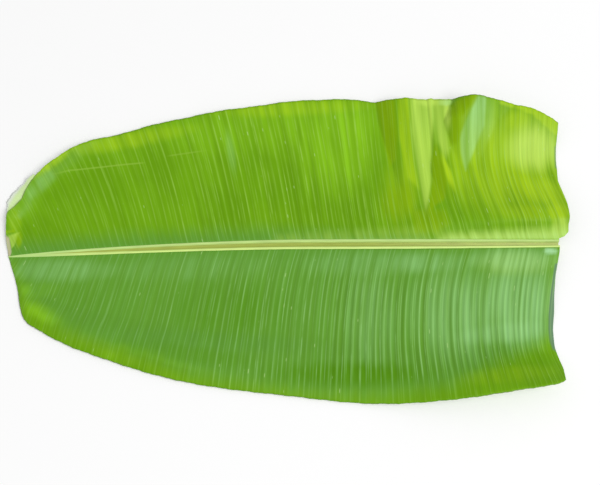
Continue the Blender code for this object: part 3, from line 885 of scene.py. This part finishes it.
# %% The upper side put together
def upper_side():
    leaf = Finish("leaf_upper_green")
    number, out, to_margin = leaf.kept("vein_place")
    along, _, to_crease = leaf.kept("plan_place")
    covers = tone_covers(leaf)
    lined = covers["lined"]
    clouds = leaf.vein_noise(number, out, *CLOUDS)
    streaks = leaf.vein_noise(number, out, *STREAKS)
    bands = leaf.vein_noise(number, out, *BANDS)
    base = toned(leaf, covers, clouds, bands)
    base = streaks_and_fold_light(leaf, base, number, lined, streaks, bands)
    line_colour = leaf.mix(covers["blue"], VEIN_GREEN, VEIN_MINT)
    base = vein_lines(leaf, base, number, out, lined, line_colour)
    base = fine_lines(leaf, base, number, out, lined, line_colour)
    base = flecks(leaf, base, number, out)
    base = fold_line(leaf, base, along, to_crease)
    base = brown_margin(leaf, base, to_margin, clouds)
    raised = leaf.times(leaf.line(number, *VEIN_WIDTH), LINE_RISE)
    leaf.bump(leaf.plus(raised, leaf.times(streaks, STREAK_RISE)), UPPER_BUMP, UPPER_BUMP_DISTANCE)
    return leaf.done(base, leaf.remap(streaks, *UPPER_ROUGHNESS), UPPER_SPECULAR)


upper_finish = upper_side()
print(upper_finish.name, "has", len(upper_finish.node_tree.nodes), "nodes")

# %% [markdown]
# ## The dull underside and the cut edge
# The underside of a banana leaf has a pale bloom of wax and veins that stand out more. The cut edge is pale
# and browns in places as it dries.
#
# Neither is seen from above, so both are kept plain: a noise mixes two greens. They could share the upper
# side's finish, but wax and flesh don't shine like it, so each has one of its own.

# %% The underside and the edge
UNDER_GREEN = (0.230, 0.400, 0.110, 1.0)
UNDER_WAX = (0.380, 0.520, 0.260, 1.0)
UNDER_VEIN = (0.420, 0.560, 0.200, 1.0)
UNDER_CLOUDS = (1.5, 0.5, 0.0, 4.0, 0.6)  # noise along the veins, as above
UNDER_WAX_SHARE, UNDER_LINE, UNDER_ROUGHNESS = (0.35, 0.7), (0.04, 0.16, 0.75), (0.3, 0.7, 0.55, 0.7)
UNDER_SPECULAR, UNDER_BUMP, UNDER_BUMP_DISTANCE = 0.3, 0.5, 0.0006
EDGE_GREEN = (0.420, 0.580, 0.230, 1.0)
EDGE_BROWN = (0.330, 0.380, 0.200, 1.0)
EDGE_NOISE_SCALE, EDGE_NOISE_DETAIL, EDGE_BROWN_SHARE, EDGE_ROUGHNESS = 1.3, 3.0, (0.4, 0.6), 0.6


def under_side():
    leaf = Finish("leaf_under_dull_green")
    number, out, _ = leaf.kept("vein_place")
    wax = leaf.vein_noise(number, out, *UNDER_CLOUDS)
    line = leaf.line(number, *UNDER_LINE)
    base = leaf.mix(leaf.remap(wax, *UNDER_WAX_SHARE), UNDER_GREEN, UNDER_WAX)
    leaf.bump(line, UNDER_BUMP, UNDER_BUMP_DISTANCE)
    return leaf.done(leaf.mix(line, base, UNDER_VEIN), leaf.remap(wax, *UNDER_ROUGHNESS), UNDER_SPECULAR)


def blade_edge():
    edge = Finish("leaf_cut_edge")
    number, out, _ = edge.kept("vein_place")
    dried = edge.noise(edge.place(number, out), EDGE_NOISE_SCALE, EDGE_NOISE_DETAIL)
    return edge.done(edge.mix(edge.remap(dried, *EDGE_BROWN_SHARE), EDGE_GREEN, EDGE_BROWN), EDGE_ROUGHNESS)


blade_finishes = [upper_finish, under_side(), blade_edge()]
print("finishes:", [m.name for m in blade_finishes])

# %% [markdown]
# ## Patches of tone, painted light and painted shade
# The green isn't even. It is yellower along the margins and bluer in the near half, partly the leaf's own
# tone, from wax, age and thickness, and partly painted light. A lifted face that catches the light has a
# painted pale or minty sheen, one that leans away has painted olive shade, and the bent-down cut edge has
# painted shade.
#
# Each place is a listed patch, and is kept at the vertices as weight paint would be. Painting by hand or
# wrapping an image round the leaf could do it too, but a table can be read, moved and made again.

# %% Soft patches
# Soft patches fade out from their middles. All lengths are in millimetres: (middle along the midrib, middle
# to the far side, half length, half width, turn in degrees, strength).
SOFT_PATCHES = {
    "fresh": [
        (308, 161, 232, 51, 6, 0.23),  # bright top of the far half
        (410, 130, 55, 91, 0, 0.51),  # far half before the wrinkles
        (360, 116, 9, 73, 4, 0.4),  # bright streak before the wrinkles
        (45, -55, 34, 15, 0, 0.98),  # near half's left end
        (54, -84, 37, 17, -20, 0.77),  # near corner of the tip
        # painted light on the tilted strip inside the near margin
        (179, -132, 98, 9, -17, 0.47),  # light band inside the near margin
    ],
    # bluer green, partly painted sheen
    "blue": [
        (236, -117, 183, 18, -3, 0.98),  # band inside the near margin
    ],
    # the margins' own yellow, and painted light on the lifted roll at the cut and the edge of the wedge
    "yellow": [
        (611, 109, 116, 104, 0, 0.53),  # right third of the far half
        (666, 36, 20, 20, 0, 0.63),  # corner of the far half at the cut
        (632, 35, 51, 16, -4, 0.29),  # foot of the lifted roll
        (41, 107, 49, 9, 42, 0.6),  # far margin at the tip
        (477, 73, 37, 67, -8, 0.28),  # between the wrinkles
        (660, 66, 49, 29, -25, 0.51),  # lifted roll at the cut
        (628, 164, 22, 17, 0, 0.41),  # inside the far margin by the cut
        (537, 96, 6, 37, 14, 0.96),  # right edge of the wedge
        (590, -160, 79, 15, 6, 0.14),  # near margin by the cut
        (133, -129, 104, 11, -21, 0.06),  # near margin by the tip
        (4, 31, 11, 27, 0, 0.19),  # tip
        (136, 143, 110, 16, 12, 0.35),  # far margin by the tip
        (340, 188, 134, 16, 3, 0.3),  # far margin in the middle
    ],
    # painted sheen on faces, crests and margins that catch the light
    "waxy": [
        (648, 129, 44, 41, 0, 0.93),  # far roll by the cut
        (668, 17, 17, 15, 0, 0.54),  # end of the far half at the cut
        (541, 174, 7, 27, 3, 0.94),  # foot of the third wrinkle
        (539, 191, 12, 7, 0, 0.88),  # margin between the wrinkles
        (609, -24, 61, 22, 0, 0.2),  # near half under the midrib at the cut
        (516, 192, 22, 9, 0, 0.88),  # far margin over the pale face
    ],
    # painted sheen where the surface mirrors the light
    "mint": [
        (64, -31, 85, 20, 0, 0.2),  # sheen under the midrib at the tip
        (221, -29, 134, 22, 2, 0.07),  # sheen under the midrib
        (436, -25, 110, 20, 0, 0.11),  # sheen under the midrib in the middle
        (435, -92, 39, 76, 0, 0.17),  # sheen in the middle of the near half
        (535, -86, 67, 73, 0, 0.2),  # sheen over the corrugation
        (613, -74, 61, 67, 0, 0.27),  # sheen at the cut
        (593, -108, 73, 17, 6, 0.2),  # bright low end of the corrugation
        (30, 80, 37, 11, 48, 0.17),  # light on the tip's far curl
        (265, 127, 7, 44, 10, 0.1),  # streak in the far half
        (610, -19, 73, 20, 0, 0.27),  # under the midrib at the cut
        (508, -23, 73, 17, 0, 0.14),  # under the midrib before the cut
        (585, 166, 20, 34, 0, 0.14),  # right side of the third wrinkle
        (539, 191, 12, 7, 0, 0.4),  # far margin between the wrinkles
    ],
    # painted shade in the wrinkles' valleys and beside the folds
    "olive": [
        (474, 59, 27, 37, -20, 0.66),  # valley of the first wrinkle, low part
        (511, 28, 29, 16, 0, 0.3),  # foot of the wedge
        (10, 8, 6, 17, 0, 0.79),  # tip beside the fold
        (353, 39, 110, 27, 0, 0.04),  # far half along the midrib in the middle
    ],
    "shade": [
        (226, -135, 159, 16, -8, 0.33),  # dark band inside the near margin
        (410, -158, 134, 22, 0, 0.97),  # near half's lower middle
        (270, -80, 98, 49, 0, 0.44),  # near half's middle
        (397, 151, 9, 49, 3, 0.25),  # dark streak in the far half
        (295, 130, 11, 55, 6, 0.2),  # dark streak before it
        (628, -141, 29, 20, 0, 0.15),  # near corner at the cut
        (85, -65, 61, 22, -10, 0.17),  # near half by the tip
    ],
    # painted highlight
    "pale": [
        (653, -10, 11, 6, 0, 0.93),  # bright spot at the end of the midrib
    ],
}
print("soft patches:", sum(len(patches) for patches in SOFT_PATCHES.values()))

# %% Faces
# Faces have clearer edges: (feather of the edge in millimetres, strength, corners in millimetres).
FACES = {
    # bluer green, partly painted sheen
    "blue": [
        # along the midrib in the far half
        (17.1, 0.96, [(0, -20), (-2, 3), (134, 12), (304, 20), (498, 7), (496, -23)]),
        # the near half inside its margin
        (14.6, 0.89, [
            (4, -7), (353, 5), (661, 4), (647, -110), (597, -136), (521, -173), (443, -182),
            (353, -177), (238, -159), (145, -129), (73, -103), (26, -64),
        ]),
    ],
    # painted sheen on lit faces, crests and strips beside the midrib
    "waxy": [
        # far half along the midrib in the middle
        (7.3, 0.21, [(323, 3), (322, 12), (401, 17), (474, 21), (529, 22), (529, 1)]),
        # far half along the midrib at the cut
        (7.3, 0.8, [(521, 0), (528, 12), (594, 14), (647, 17), (680, 19), (673, -1)]),
        # crest of the second wrinkle
        (4.9, 0.58, [
            (520, 196), (541, 197), (542, 176), (539, 156), (541, 128), (536, 116), (526, 138),
            (522, 167),
        ]),
        # folded corner of the tip
        (1, 0.63, [(-2, 13), (10, 18), (6, 1), (3, -3)]),
        # lit face of the first wrinkle
        (3, 0.66, [
            (493, 196), (522, 195), (522, 167), (520, 132), (517, 83), (506, 36), (498, 105),
            (493, 150),
        ]),
    ],
    # painted sheen on a lit face and along the far midrib
    "mint": [
        # sheen along the far midrib at the cut
        (7.3, 0.17, [(521, 0), (528, 10), (594, 12), (648, 15), (680, 17), (673, -1)]),
        # lit face of the third wrinkle
        (2.4, 0.31, [
            (578, 192), (587, 188), (586, 158), (573, 128), (560, 99), (556, 125), (555, 148),
            (562, 163), (568, 176),
        ]),
    ],
    # painted shade on faces that lean away from the light
    "olive": [
        # shade over the tip's fold
        (0.9, 0.97, [(-6, 18), (4, 21), (4, 18), (-6, 14)]),
        # foot of the wedge under the second crest
        (4.3, 0.59, [(492, 43), (512, 48), (531, 42), (533, 24), (515, 14), (493, 15)]),
        # shaded side of the first wrinkle
        (4.3, 0.98, [(451, 201), (473, 194), (476, 147), (474, 115), (466, 108), (459, 143)]),
        # shaded wedge under the second crest
        (2.4, 0.95, [
            (525, 136), (531, 113), (535, 85), (532, 60), (519, 50), (509, 39), (517, 83), (519, 115),
        ]),
        # shaded rise of the third wrinkle
        (3.7, 0.97, [
            (548, 188), (560, 191), (577, 192), (568, 176), (562, 162), (556, 147), (551, 136),
            (544, 137), (543, 159), (543, 176),
        ]),
    ],
    # painted light on the lifted strip beside the first crest and on the far margin's curl
    "yellow": [
        # strip beside the first crest
        (3, 0.55, [(478, 194), (492, 196), (493, 150), (496, 105), (501, 72), (487, 89), (479, 140)]),
        # far margin by the cut
        (1.8, 0.64, [
            (603, 189), (663, 182), (685, 165), (678, 145), (666, 154), (647, 169), (625, 179),
            (605, 182),
        ]),
    ],
    # painted highlight
    "pale": [
        # line of light on the tip's far curl
        (2.4, 0.06, [
            (36, 99), (28, 87), (19, 69), (12, 49), (5, 38), (9, 35), (17, 48), (25, 69), (33, 85),
            (41, 95),
        ]),
    ],
    "withered": [
        # dry notch in the tip
        (1, 0.98, [(-8, 14), (-1, 10), (3, -7), (2, -13), (-5, -14)]),
    ],
    "lined": [
        # the near half by the cut, between its midrib and its curled margin
        (19.5, 0.85, [
            (389, -44), (657, -50), (647, -110), (630, -122), (598, -134), (555, -154), (528, -161),
            (387, -159),
        ]),
        # the same half along the midrib
        (17.1, 0.35, [(389, -7), (660, -9), (656, -57), (388, -56)]),
        # the middle of the near half
        (24.4, 0.5, [(244, -14), (407, -10), (404, -186), (261, -169)]),
        # the near half by the tip
        (17.1, 0.25, [(27, -20), (250, -14), (255, -164), (72, -94)]),
        # the near half's curled margin
        (7.3, 0.15, [(525, -141), (600, -121), (647, -110), (649, -172), (509, -191)]),
        # the middle of the far half
        (19.5, 0.45, [(224, 177), (441, 193), (440, 5), (232, 6)]),
        # the far half under the wrinkles and by the cut
        (17.1, 0.5, [(427, 74), (523, 37), (581, 129), (676, 141), (677, 32), (666, 4), (425, 5)]),
        # the wrinkles
        (14.6, 0.12, [(443, 200), (579, 185), (580, 116), (523, 37), (440, 74)]),
        # the far half by the tip
        (26.8, 0.3, [(50, 126), (250, 184), (256, 9), (73, 8)]),
    ],
    # painted shade on the bent-down cut edges
    "dry": [
        # dark strip along the near cut
        (1.2, 0.96, [
            (657, -26), (653, -45), (649, -64), (646, -83), (644, -104), (644, -118), (646, -129),
            (654, -129), (660, -69), (665, -26),
        ]),
        # dark line along the far cut
        (1, 0.62, [(675, 134), (682, 134), (680, 105), (674, 104)]),
    ],
}
print("faces:", sum(len(faces) for faces in FACES.values()))


# %% Paint the patches
SOFT_EDGE = (1.0, 0.25)  # a soft patch fades between these shares of the way out


def soft_cover(patches, x, y):
    """How strongly the soft patches cover each plan point, from 0 to 1."""
    clear = np.ones_like(x)
    for middle_x, middle_y, half_length, half_width, turn, strength in patches:
        angle = math.radians(turn)
        dx, dy = x - middle_x * MM, y - middle_y * MM
        along = (dx * math.cos(angle) + dy * math.sin(angle)) / (half_length * MM)
        across = (dy * math.cos(angle) - dx * math.sin(angle)) / (half_width * MM)
        clear *= 1 - strength * smooth_step(*SOFT_EDGE, np.hypot(along, across))
    return 1 - clear


def face_cover(faces, x, y):
    """How strongly the outlined faces cover each plan point; their edges are soft by their feather."""
    clear = np.ones_like(x)
    for feather, strength, corners in faces:
        ring = np.array(corners + corners[:1], float) * MM
        inside = np.zeros(len(x), bool)
        gap = np.full(len(x), np.inf)
        for (ax, ay), (bx, by) in zip(ring[:-1], ring[1:]):
            run_x, run_y = bx - ax, by - ay
            share = np.clip(((x - ax) * run_x + (y - ay) * run_y) / (run_x**2 + run_y**2), 0, 1)
            gap = np.minimum(gap, np.hypot(x - ax - run_x * share, y - ay - run_y * share))
            if by != ay:
                inside ^= ((ay > y) != (by > y)) & (x < ax + (y - ay) * run_x / run_y)
        clear *= 1 - strength * smooth_step(-feather * MM, feather * MM, np.where(inside, gap, -gap))
    return 1 - clear


def paint_tones(half):
    """Keeps at each vertex how strongly each tone covers it."""
    plan = np.empty(len(half.data.vertices) * 3, np.float32)
    half.data.attributes["plan_place"].data.foreach_get("vector", plan)
    x, y = plan.reshape(-1, 3)[:, :2].astype(float).T
    for name, tones in TONES.items():
        covers = np.zeros((len(x), 3))
        for column, tone in enumerate(tones):
            soft = soft_cover(SOFT_PATCHES.get(tone, []), x, y)
            sharp = face_cover(FACES.get(tone, []), x, y)
            covers[:, column] = 1 - (1 - soft) * (1 - sharp)
        keep_values(half, name, covers)


for half in blade_halves.values():
    paint_tones(half)
    for finish in blade_finishes:
        half.data.materials.append(finish)
    thicken(half)
    print(half.name, "has", len(half.data.polygons), "faces in all")

# %% [markdown]
# ## The bleached sliver at the tip
# At the tip's far corner the outermost strip of the blade has dried and bleached. It hangs down from under
# the green margin as a pale film about 8 mm wide, and its free edge is a little torn.
#
# It is a narrow grid stretched between two lines: one tucked under the green margin, one for the free edge.
# It could be a pale patch on the blade, but it hangs lower than the margin, and its edge is seen by itself.

# %% Hang the sliver under the margin
SLIVER_COLUMNS, SLIVER_ROWS = 48, 8
SLIVER_THICK = 0.0006
SLIVER_BULGE = 0.0010
SLIVER_TORN = 0.0005
TORN_WAVES = (31.0, 83.0)  # radians along the sliver
TORN_POWER = 3  # only the free edge is torn
PERCENT = 100
# (share along it, then x, y and height of the tucked line, then x, y and height of the free edge)
SLIVER = [
    (0.0, -0.0037, 0.0408, 0.0108, -0.0066, 0.0440, 0.0080),
    (0.12, 0.0004, 0.0427, 0.0094, -0.0096, 0.0510, 0.0030),
    (0.25, 0.0053, 0.0457, 0.0085, -0.0102, 0.0585, 0.0022),
    (0.38, 0.0091, 0.0514, 0.0092, -0.0078, 0.0650, 0.0022),
    (0.50, 0.0124, 0.0594, 0.0107, -0.0031, 0.0715, 0.0025),
    (0.62, 0.0152, 0.0685, 0.0113, 0.0018, 0.0769, 0.0030),
    (0.75, 0.0183, 0.0762, 0.0121, 0.0074, 0.0823, 0.0040),
    (0.88, 0.0210, 0.0820, 0.0126, 0.0125, 0.0885, 0.0062),
    (1.0, 0.0250, 0.0885, 0.0129, 0.0205, 0.0930, 0.0105),
]


def tip_sliver():
    deselect_all()
    bpy.ops.mesh.primitive_grid_add(x_subdivisions=SLIVER_COLUMNS, y_subdivisions=SLIVER_ROWS, size=1.0)
    sliver = bpy.context.object
    sliver.name = sliver.data.name = "leaf_tip_sliver"
    places = read_places(sliver)
    along, out = places[:, 0] + 0.5, (places[:, 1] + 0.5)[:, None]
    lines = smooth_mix(SLIVER, along)
    tucked, free = lines[:, :3], lines[:, 3:]
    places = tucked + (free - tucked) * out
    torn = sum(np.sin(along * wave) for wave in TORN_WAVES) * SLIVER_TORN
    places[:, 0] -= torn * out[:, 0] ** TORN_POWER + PLAN_MIDDLE[0]
    places[:, 1] -= PLAN_MIDDLE[1]
    places[:, 2] += SLIVER_BULGE * np.sin(math.pi * out[:, 0])
    move_vertices(sliver, places)
    keep_values(sliver, "sliver_place", np.column_stack([along * PERCENT, out[:, 0], along * 0]))
    wall = sliver.modifiers.new("thickness", "SOLIDIFY")
    wall.thickness = SLIVER_THICK
    bpy.ops.object.modifier_apply(modifier=wall.name)
    bpy.ops.object.shade_smooth()
    return sliver


# %% The bleached finish
BLEACHED = (0.735, 0.950, 0.440, 1.0)
BLEACHED_EDGE = (0.880, 0.940, 0.830, 1.0)
FIBRE_SCALE, FIBRE_DETAIL, FIBRE_STRETCH = 0.7, 3.0, 0.6
BLEACHED_FROM, FIBRE_SHARE = (0.5, 0.95), (0.50, 0.75, 0.0, 0.4)
BLEACHED_ROUGHNESS, BLEACHED_SPECULAR = (0.3, 0.7, 0.50, 0.65), 0.2


def sliver_finish():
    dried = Finish("leaf_bleached")
    along, out, _ = dried.kept("sliver_place")
    fibre = dried.noise(dried.place(along, dried.times(out, FIBRE_STRETCH)), FIBRE_SCALE, FIBRE_DETAIL)
    share = dried.maths("MAXIMUM", dried.remap(out, *BLEACHED_FROM), dried.remap(fibre, *FIBRE_SHARE))
    colour = dried.mix(share, BLEACHED, BLEACHED_EDGE)
    return dried.done(colour, dried.remap(fibre, *BLEACHED_ROUGHNESS), BLEACHED_SPECULAR)


leaf_sliver = tip_sliver()
leaf_sliver.data.materials.append(sliver_finish())
print("sliver faces:", len(leaf_sliver.data.polygons))

# %% [markdown]
# ## The midrib
# The midrib is the leaf's spine. Seen from above it is two pale rails with an olive groove between them,
# and towards the tip the groove closes into one pale ridge. Below it hangs as a rounded keel, deepest at
# the cut end, and the leaf rests on it.
#
# A curve with a bevel profile keeps the same section all the way. This section changes from a ridge to a
# grooved channel, so a grid is rolled up round it instead: one row of the grid for each point round the
# section, and one column for each place along the midrib.

# %% Roll up the midrib
MIDRIB_COLUMNS = 300
GROOVE_DEPTH = [(0.0, -0.0005), (0.07, -0.0008), (0.20, 0.0010), (0.40, 0.0026), (0.73, 0.0040)]
RAIL_RISE, FULL_RAIL_WIDTH = 0.0012, 0.004
BLADE_OVER_KEEL = 0.00085
SEAM_MERGE = 0.00001
SHARP_OVER = math.radians(50)
# (share of the half width, share of the rail's rise, share of the groove's depth)
UPPER_SECTION = [
    (0.0, 0.0, 1.0), (0.14, 0.0, 0.98), (0.27, 0.04, 0.86), (0.38, 0.30, 0.52), (0.48, 0.72, 0.20),
    (0.58, 0.97, 0.04), (0.68, 1.0, 0.0), (0.78, 0.90, 0.0), (0.87, 0.62, 0.0), (0.94, 0.28, 0.0),
    (1.0, 0.0, 0.0),
]
# (share of the half width, share of the keel's depth)
KEEL_SECTION = [
    (0.985, 0.10), (0.94, 0.28), (0.86, 0.48), (0.75, 0.68), (0.61, 0.84), (0.46, 0.95), (0.30, 1.0),
    (0.0, 1.0),
]


def midrib_section():
    """Points round the section: (share to the far side, rail, groove, keel depth, upper or not)."""
    upper = [(s, rail, groove, 0.0, 1.0) for s, rail, groove in UPPER_SECTION]
    keel = [(s, 0.0, 0.0, deep, 0.0) for s, deep in KEEL_SECTION]
    far_half = upper + keel
    near_half = [(-s, *rest) for s, *rest in far_half[1:-1]]
    return np.array(far_half + near_half[::-1] + far_half[:1])


def close_up(rib):
    """Joins the rolled-up grid along its seam and closes its two ends."""
    bpy.ops.object.mode_set(mode="EDIT")
    bpy.ops.mesh.select_all(action="SELECT")
    bpy.ops.mesh.remove_doubles(threshold=SEAM_MERGE)
    bpy.ops.mesh.select_all(action="DESELECT")
    bpy.ops.mesh.select_non_manifold()
    bpy.ops.mesh.fill_holes(sides=0)
    bpy.ops.mesh.select_all(action="SELECT")
    bpy.ops.mesh.normals_make_consistent(inside=False)
    bpy.ops.object.mode_set(mode="OBJECT")
    bpy.ops.object.shade_smooth_by_angle(angle=SHARP_OVER)


def midrib():
    section = midrib_section()
    deselect_all()
    bpy.ops.mesh.primitive_grid_add(x_subdivisions=MIDRIB_COLUMNS, y_subdivisions=len(section) - 1, size=1.0)
    rib = bpy.context.object
    rib.name = rib.data.name = "leaf_midrib"
    places = read_places(rib)
    root = (places[:, 0] + 0.5) * MIDRIB_LENGTH
    row = np.rint((places[:, 1] + 0.5) * (len(section) - 1)).astype(int)
    share, rail, groove, deep, upper = section[row].T
    width = smooth_mix(MIDRIB_HALF_WIDTH, root)[:, 0]
    depth = smooth_mix(MIDRIB_DEPTH, root)[:, 0]
    rise = rail * np.minimum(1.0, width / FULL_RAIL_WIDTH) * RAIL_RISE
    top = depth + BLADE_OVER_KEEL + rise - groove * smooth_mix(GROOVE_DEPTH, root)[:, 0]
    places[:, 0] = root - PLAN_MIDDLE[0]
    places[:, 1] = midrib_line(root) + share * width - PLAN_MIDDLE[1]
    places[:, 2] = np.where(upper > 0, top, (1 - deep) * depth)
    move_vertices(rib, places)
    keep_values(rib, "rib_place", np.column_stack([root / CM, share, upper]))
    close_up(rib)
    return rib


# %% [markdown]
# ## The midrib's finish
# The rails are the palest green of the leaf, and the near one is lighter. The groove between them is olive
# and pales at the cut. Fine fibres run lengthwise.
#
# Three materials on chosen faces could show this, but their borders would be hard steps. One material that
# reads the place along and across the midrib lets them melt into each other.

# %% The midrib's finish
FAR_RAIL = (0.530, 0.730, 0.240, 1.0)
NEAR_RAIL = (0.660, 0.850, 0.250, 1.0)
TIP_RIDGE = (0.500, 0.730, 0.230, 1.0)
GROOVE_COLOUR = (0.370, 0.440, 0.080, 1.0)
GROOVE_AT_CUT = (0.500, 0.560, 0.190, 1.0)
KEEL_COLOUR = (0.330, 0.480, 0.110, 1.0)
# Ranges along the midrib are in centimetres, and ranges across it in shares of its half width.
GRAIN_ALONG, GRAIN_ACROSS, GRAIN_DETAIL = 0.4, 9.0, 3.0
RAIL_CHANGE, RIDGE_END = (-0.3, 0.3), (3.0, 11.0, 1.0, 0.0)
GROOVE_PALES, GROOVE_OPENS = (40.0, 64.0), (2.0, 9.0)
GROOVE_WIDENS, GROOVE_WIDTH = (2.0, 20.0, 0.25, 1.0), (0.25, 0.52, 1.0, 0.0)
KEEL_CHANGE = (0.2, 0.8, 1.0, 0.0)
GRAIN_SHADE, RIB_ROUGHNESS, RIB_SPECULAR = (0.3, 0.7, 0.88, 1.10), (0.3, 0.7, 0.40, 0.55), 0.2


def midrib_finish():
    rib = Finish("midrib_pale_green")
    along, across, upper = rib.kept("rib_place")
    fibres = rib.place(rib.times(along, GRAIN_ALONG), rib.times(across, GRAIN_ACROSS))
    grain = rib.noise(fibres, 1.0, GRAIN_DETAIL)
    rails = rib.mix(rib.remap(across, *RAIL_CHANGE), NEAR_RAIL, FAR_RAIL)
    rails = rib.mix(rib.remap(along, *RIDGE_END), rails, TIP_RIDGE)
    groove = rib.mix(rib.remap(along, *GROOVE_PALES), GROOVE_COLOUR, GROOVE_AT_CUT)
    from_middle = rib.maths("DIVIDE", rib.maths("ABSOLUTE", across), rib.remap(along, *GROOVE_WIDENS))
    in_groove = rib.times(rib.remap(from_middle, *GROOVE_WIDTH), rib.remap(along, *GROOVE_OPENS))
    base = rib.mix(in_groove, rails, groove)
    base = rib.mix(rib.remap(upper, *KEEL_CHANGE), base, KEEL_COLOUR)
    base = rib.shaded(base, rib.remap(grain, *GRAIN_SHADE))
    return rib.done(base, rib.remap(grain, *RIB_ROUGHNESS), RIB_SPECULAR)


leaf_midrib = midrib()
leaf_midrib.data.materials.append(midrib_finish())
print("midrib faces:", len(leaf_midrib.data.polygons))

# %% [markdown]
# ## Join the pieces to the frame
# The whole leaf is one CAD node, because it grew as one piece. The four dressed pieces stand for it
# together, and they ride on the only body there is.

# %% Ride and replace
leaf_pieces = [*blade_halves.values(), leaf_midrib, leaf_sliver]
for piece in leaf_pieces:
    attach(piece, "root")
    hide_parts("banana_leaf")
print("pieces:", [p.name for p in leaf_pieces])

# %% [markdown]
# ## The table
# The leaf lies on a plain white table. A sheet of paper curved up behind the leaf would do too, but from
# this steep angle only the flat part is seen, so one large plane is enough.

# %% The table
FLOOR_SIZE = 8.0
FLOOR_HEIGHT = -0.0002  # a hair below the leaf's lowest point
FLOOR_WHITE = (0.97, 0.97, 0.97, 1.0)
FLOOR_GREY = (0.93, 0.93, 0.93, 1.0)
FLOOR_GRAIN_SCALE, FLOOR_GRAIN_SHARE = 40.0, (0.3, 0.7, 0.0, 0.02)
FLOOR_ROUGHNESS, FLOOR_SPECULAR = 0.8, 0.0


def table_top():
    deselect_all()
    bpy.ops.mesh.primitive_plane_add(size=FLOOR_SIZE, location=(0, 0, FLOOR_HEIGHT))
    floor = bpy.context.object
    floor.name = "table_top"
    white = Finish("white_table")
    grain = white.noise(white.node("TexCoord", {}, "Object"), FLOOR_GRAIN_SCALE)
    colour = white.mix(white.remap(grain, *FLOOR_GRAIN_SHARE), FLOOR_WHITE, FLOOR_GREY)
    floor.data.materials.append(white.done(colour, FLOOR_ROUGHNESS, FLOOR_SPECULAR))
    return floor


table_top()
print("the table is", FLOOR_SIZE, "m wide")

# %% [markdown]
# ## Light and camera
# One large soft light hangs overhead, a little to the near side and to the right. Faces that lean that way
# turn pale, and the others stay deep green. An even white surrounding fills the shadows. The camera looks
# down steeply from the near side.
#
# A sun lamp would draw hard edges on the folds, and a sky image would tint them. A large area light is soft
# like an overcast window, and it is easily moved until the right faces turn pale.

# %% Light and camera
AIM = Vector((0.0157, 0.0007, 0.0))  # the point that the camera and the light look at
CAMERA_DISTANCE = 1.0
CAMERA_ELEVATION = math.radians(70)
CAMERA_LENS = 49.2
SOFTBOX_PLACE = (4.6, -2.5, 8.0)
SOFTBOX_SIZE = 6.0
SOFTBOX_POWER = 630.0
SURROUNDING_LIGHT = 0.50

world = bpy.data.worlds.new("white_room")
world.use_nodes = True
world.node_tree.nodes["Background"].inputs["Color"].default_value = (1, 1, 1, 1)
world.node_tree.nodes["Background"].inputs["Strength"].default_value = SURROUNDING_LIGHT
bpy.context.scene.world = world

softbox_data = bpy.data.lights.new("softbox", "AREA")
softbox_data.size = SOFTBOX_SIZE
softbox_data.energy = SOFTBOX_POWER
softbox = bpy.data.objects.new("softbox", softbox_data)
softbox.location = SOFTBOX_PLACE
softbox.rotation_euler = (AIM - Vector(SOFTBOX_PLACE)).to_track_quat("-Z", "Y").to_euler()
bpy.context.scene.collection.objects.link(softbox)

camera_data = bpy.data.cameras.new("camera")
camera_data.lens = CAMERA_LENS
camera = bpy.data.objects.new("camera", camera_data)
back = Vector((0, -math.cos(CAMERA_ELEVATION), math.sin(CAMERA_ELEVATION)))
camera.location = AIM + back * CAMERA_DISTANCE
camera.rotation_euler = (-back).to_track_quat("-Z", "Y").to_euler()
bpy.context.scene.collection.objects.link(camera)
bpy.context.scene.camera = camera
bpy.context.scene.view_settings.view_transform = "Standard"
print("camera at", [round(c, 3) for c in camera.location])

# %% [markdown]
# ## The size
# The dressed leaf has to fill the CAD part's box and stay in it, apart from the sliver's few millimetres.
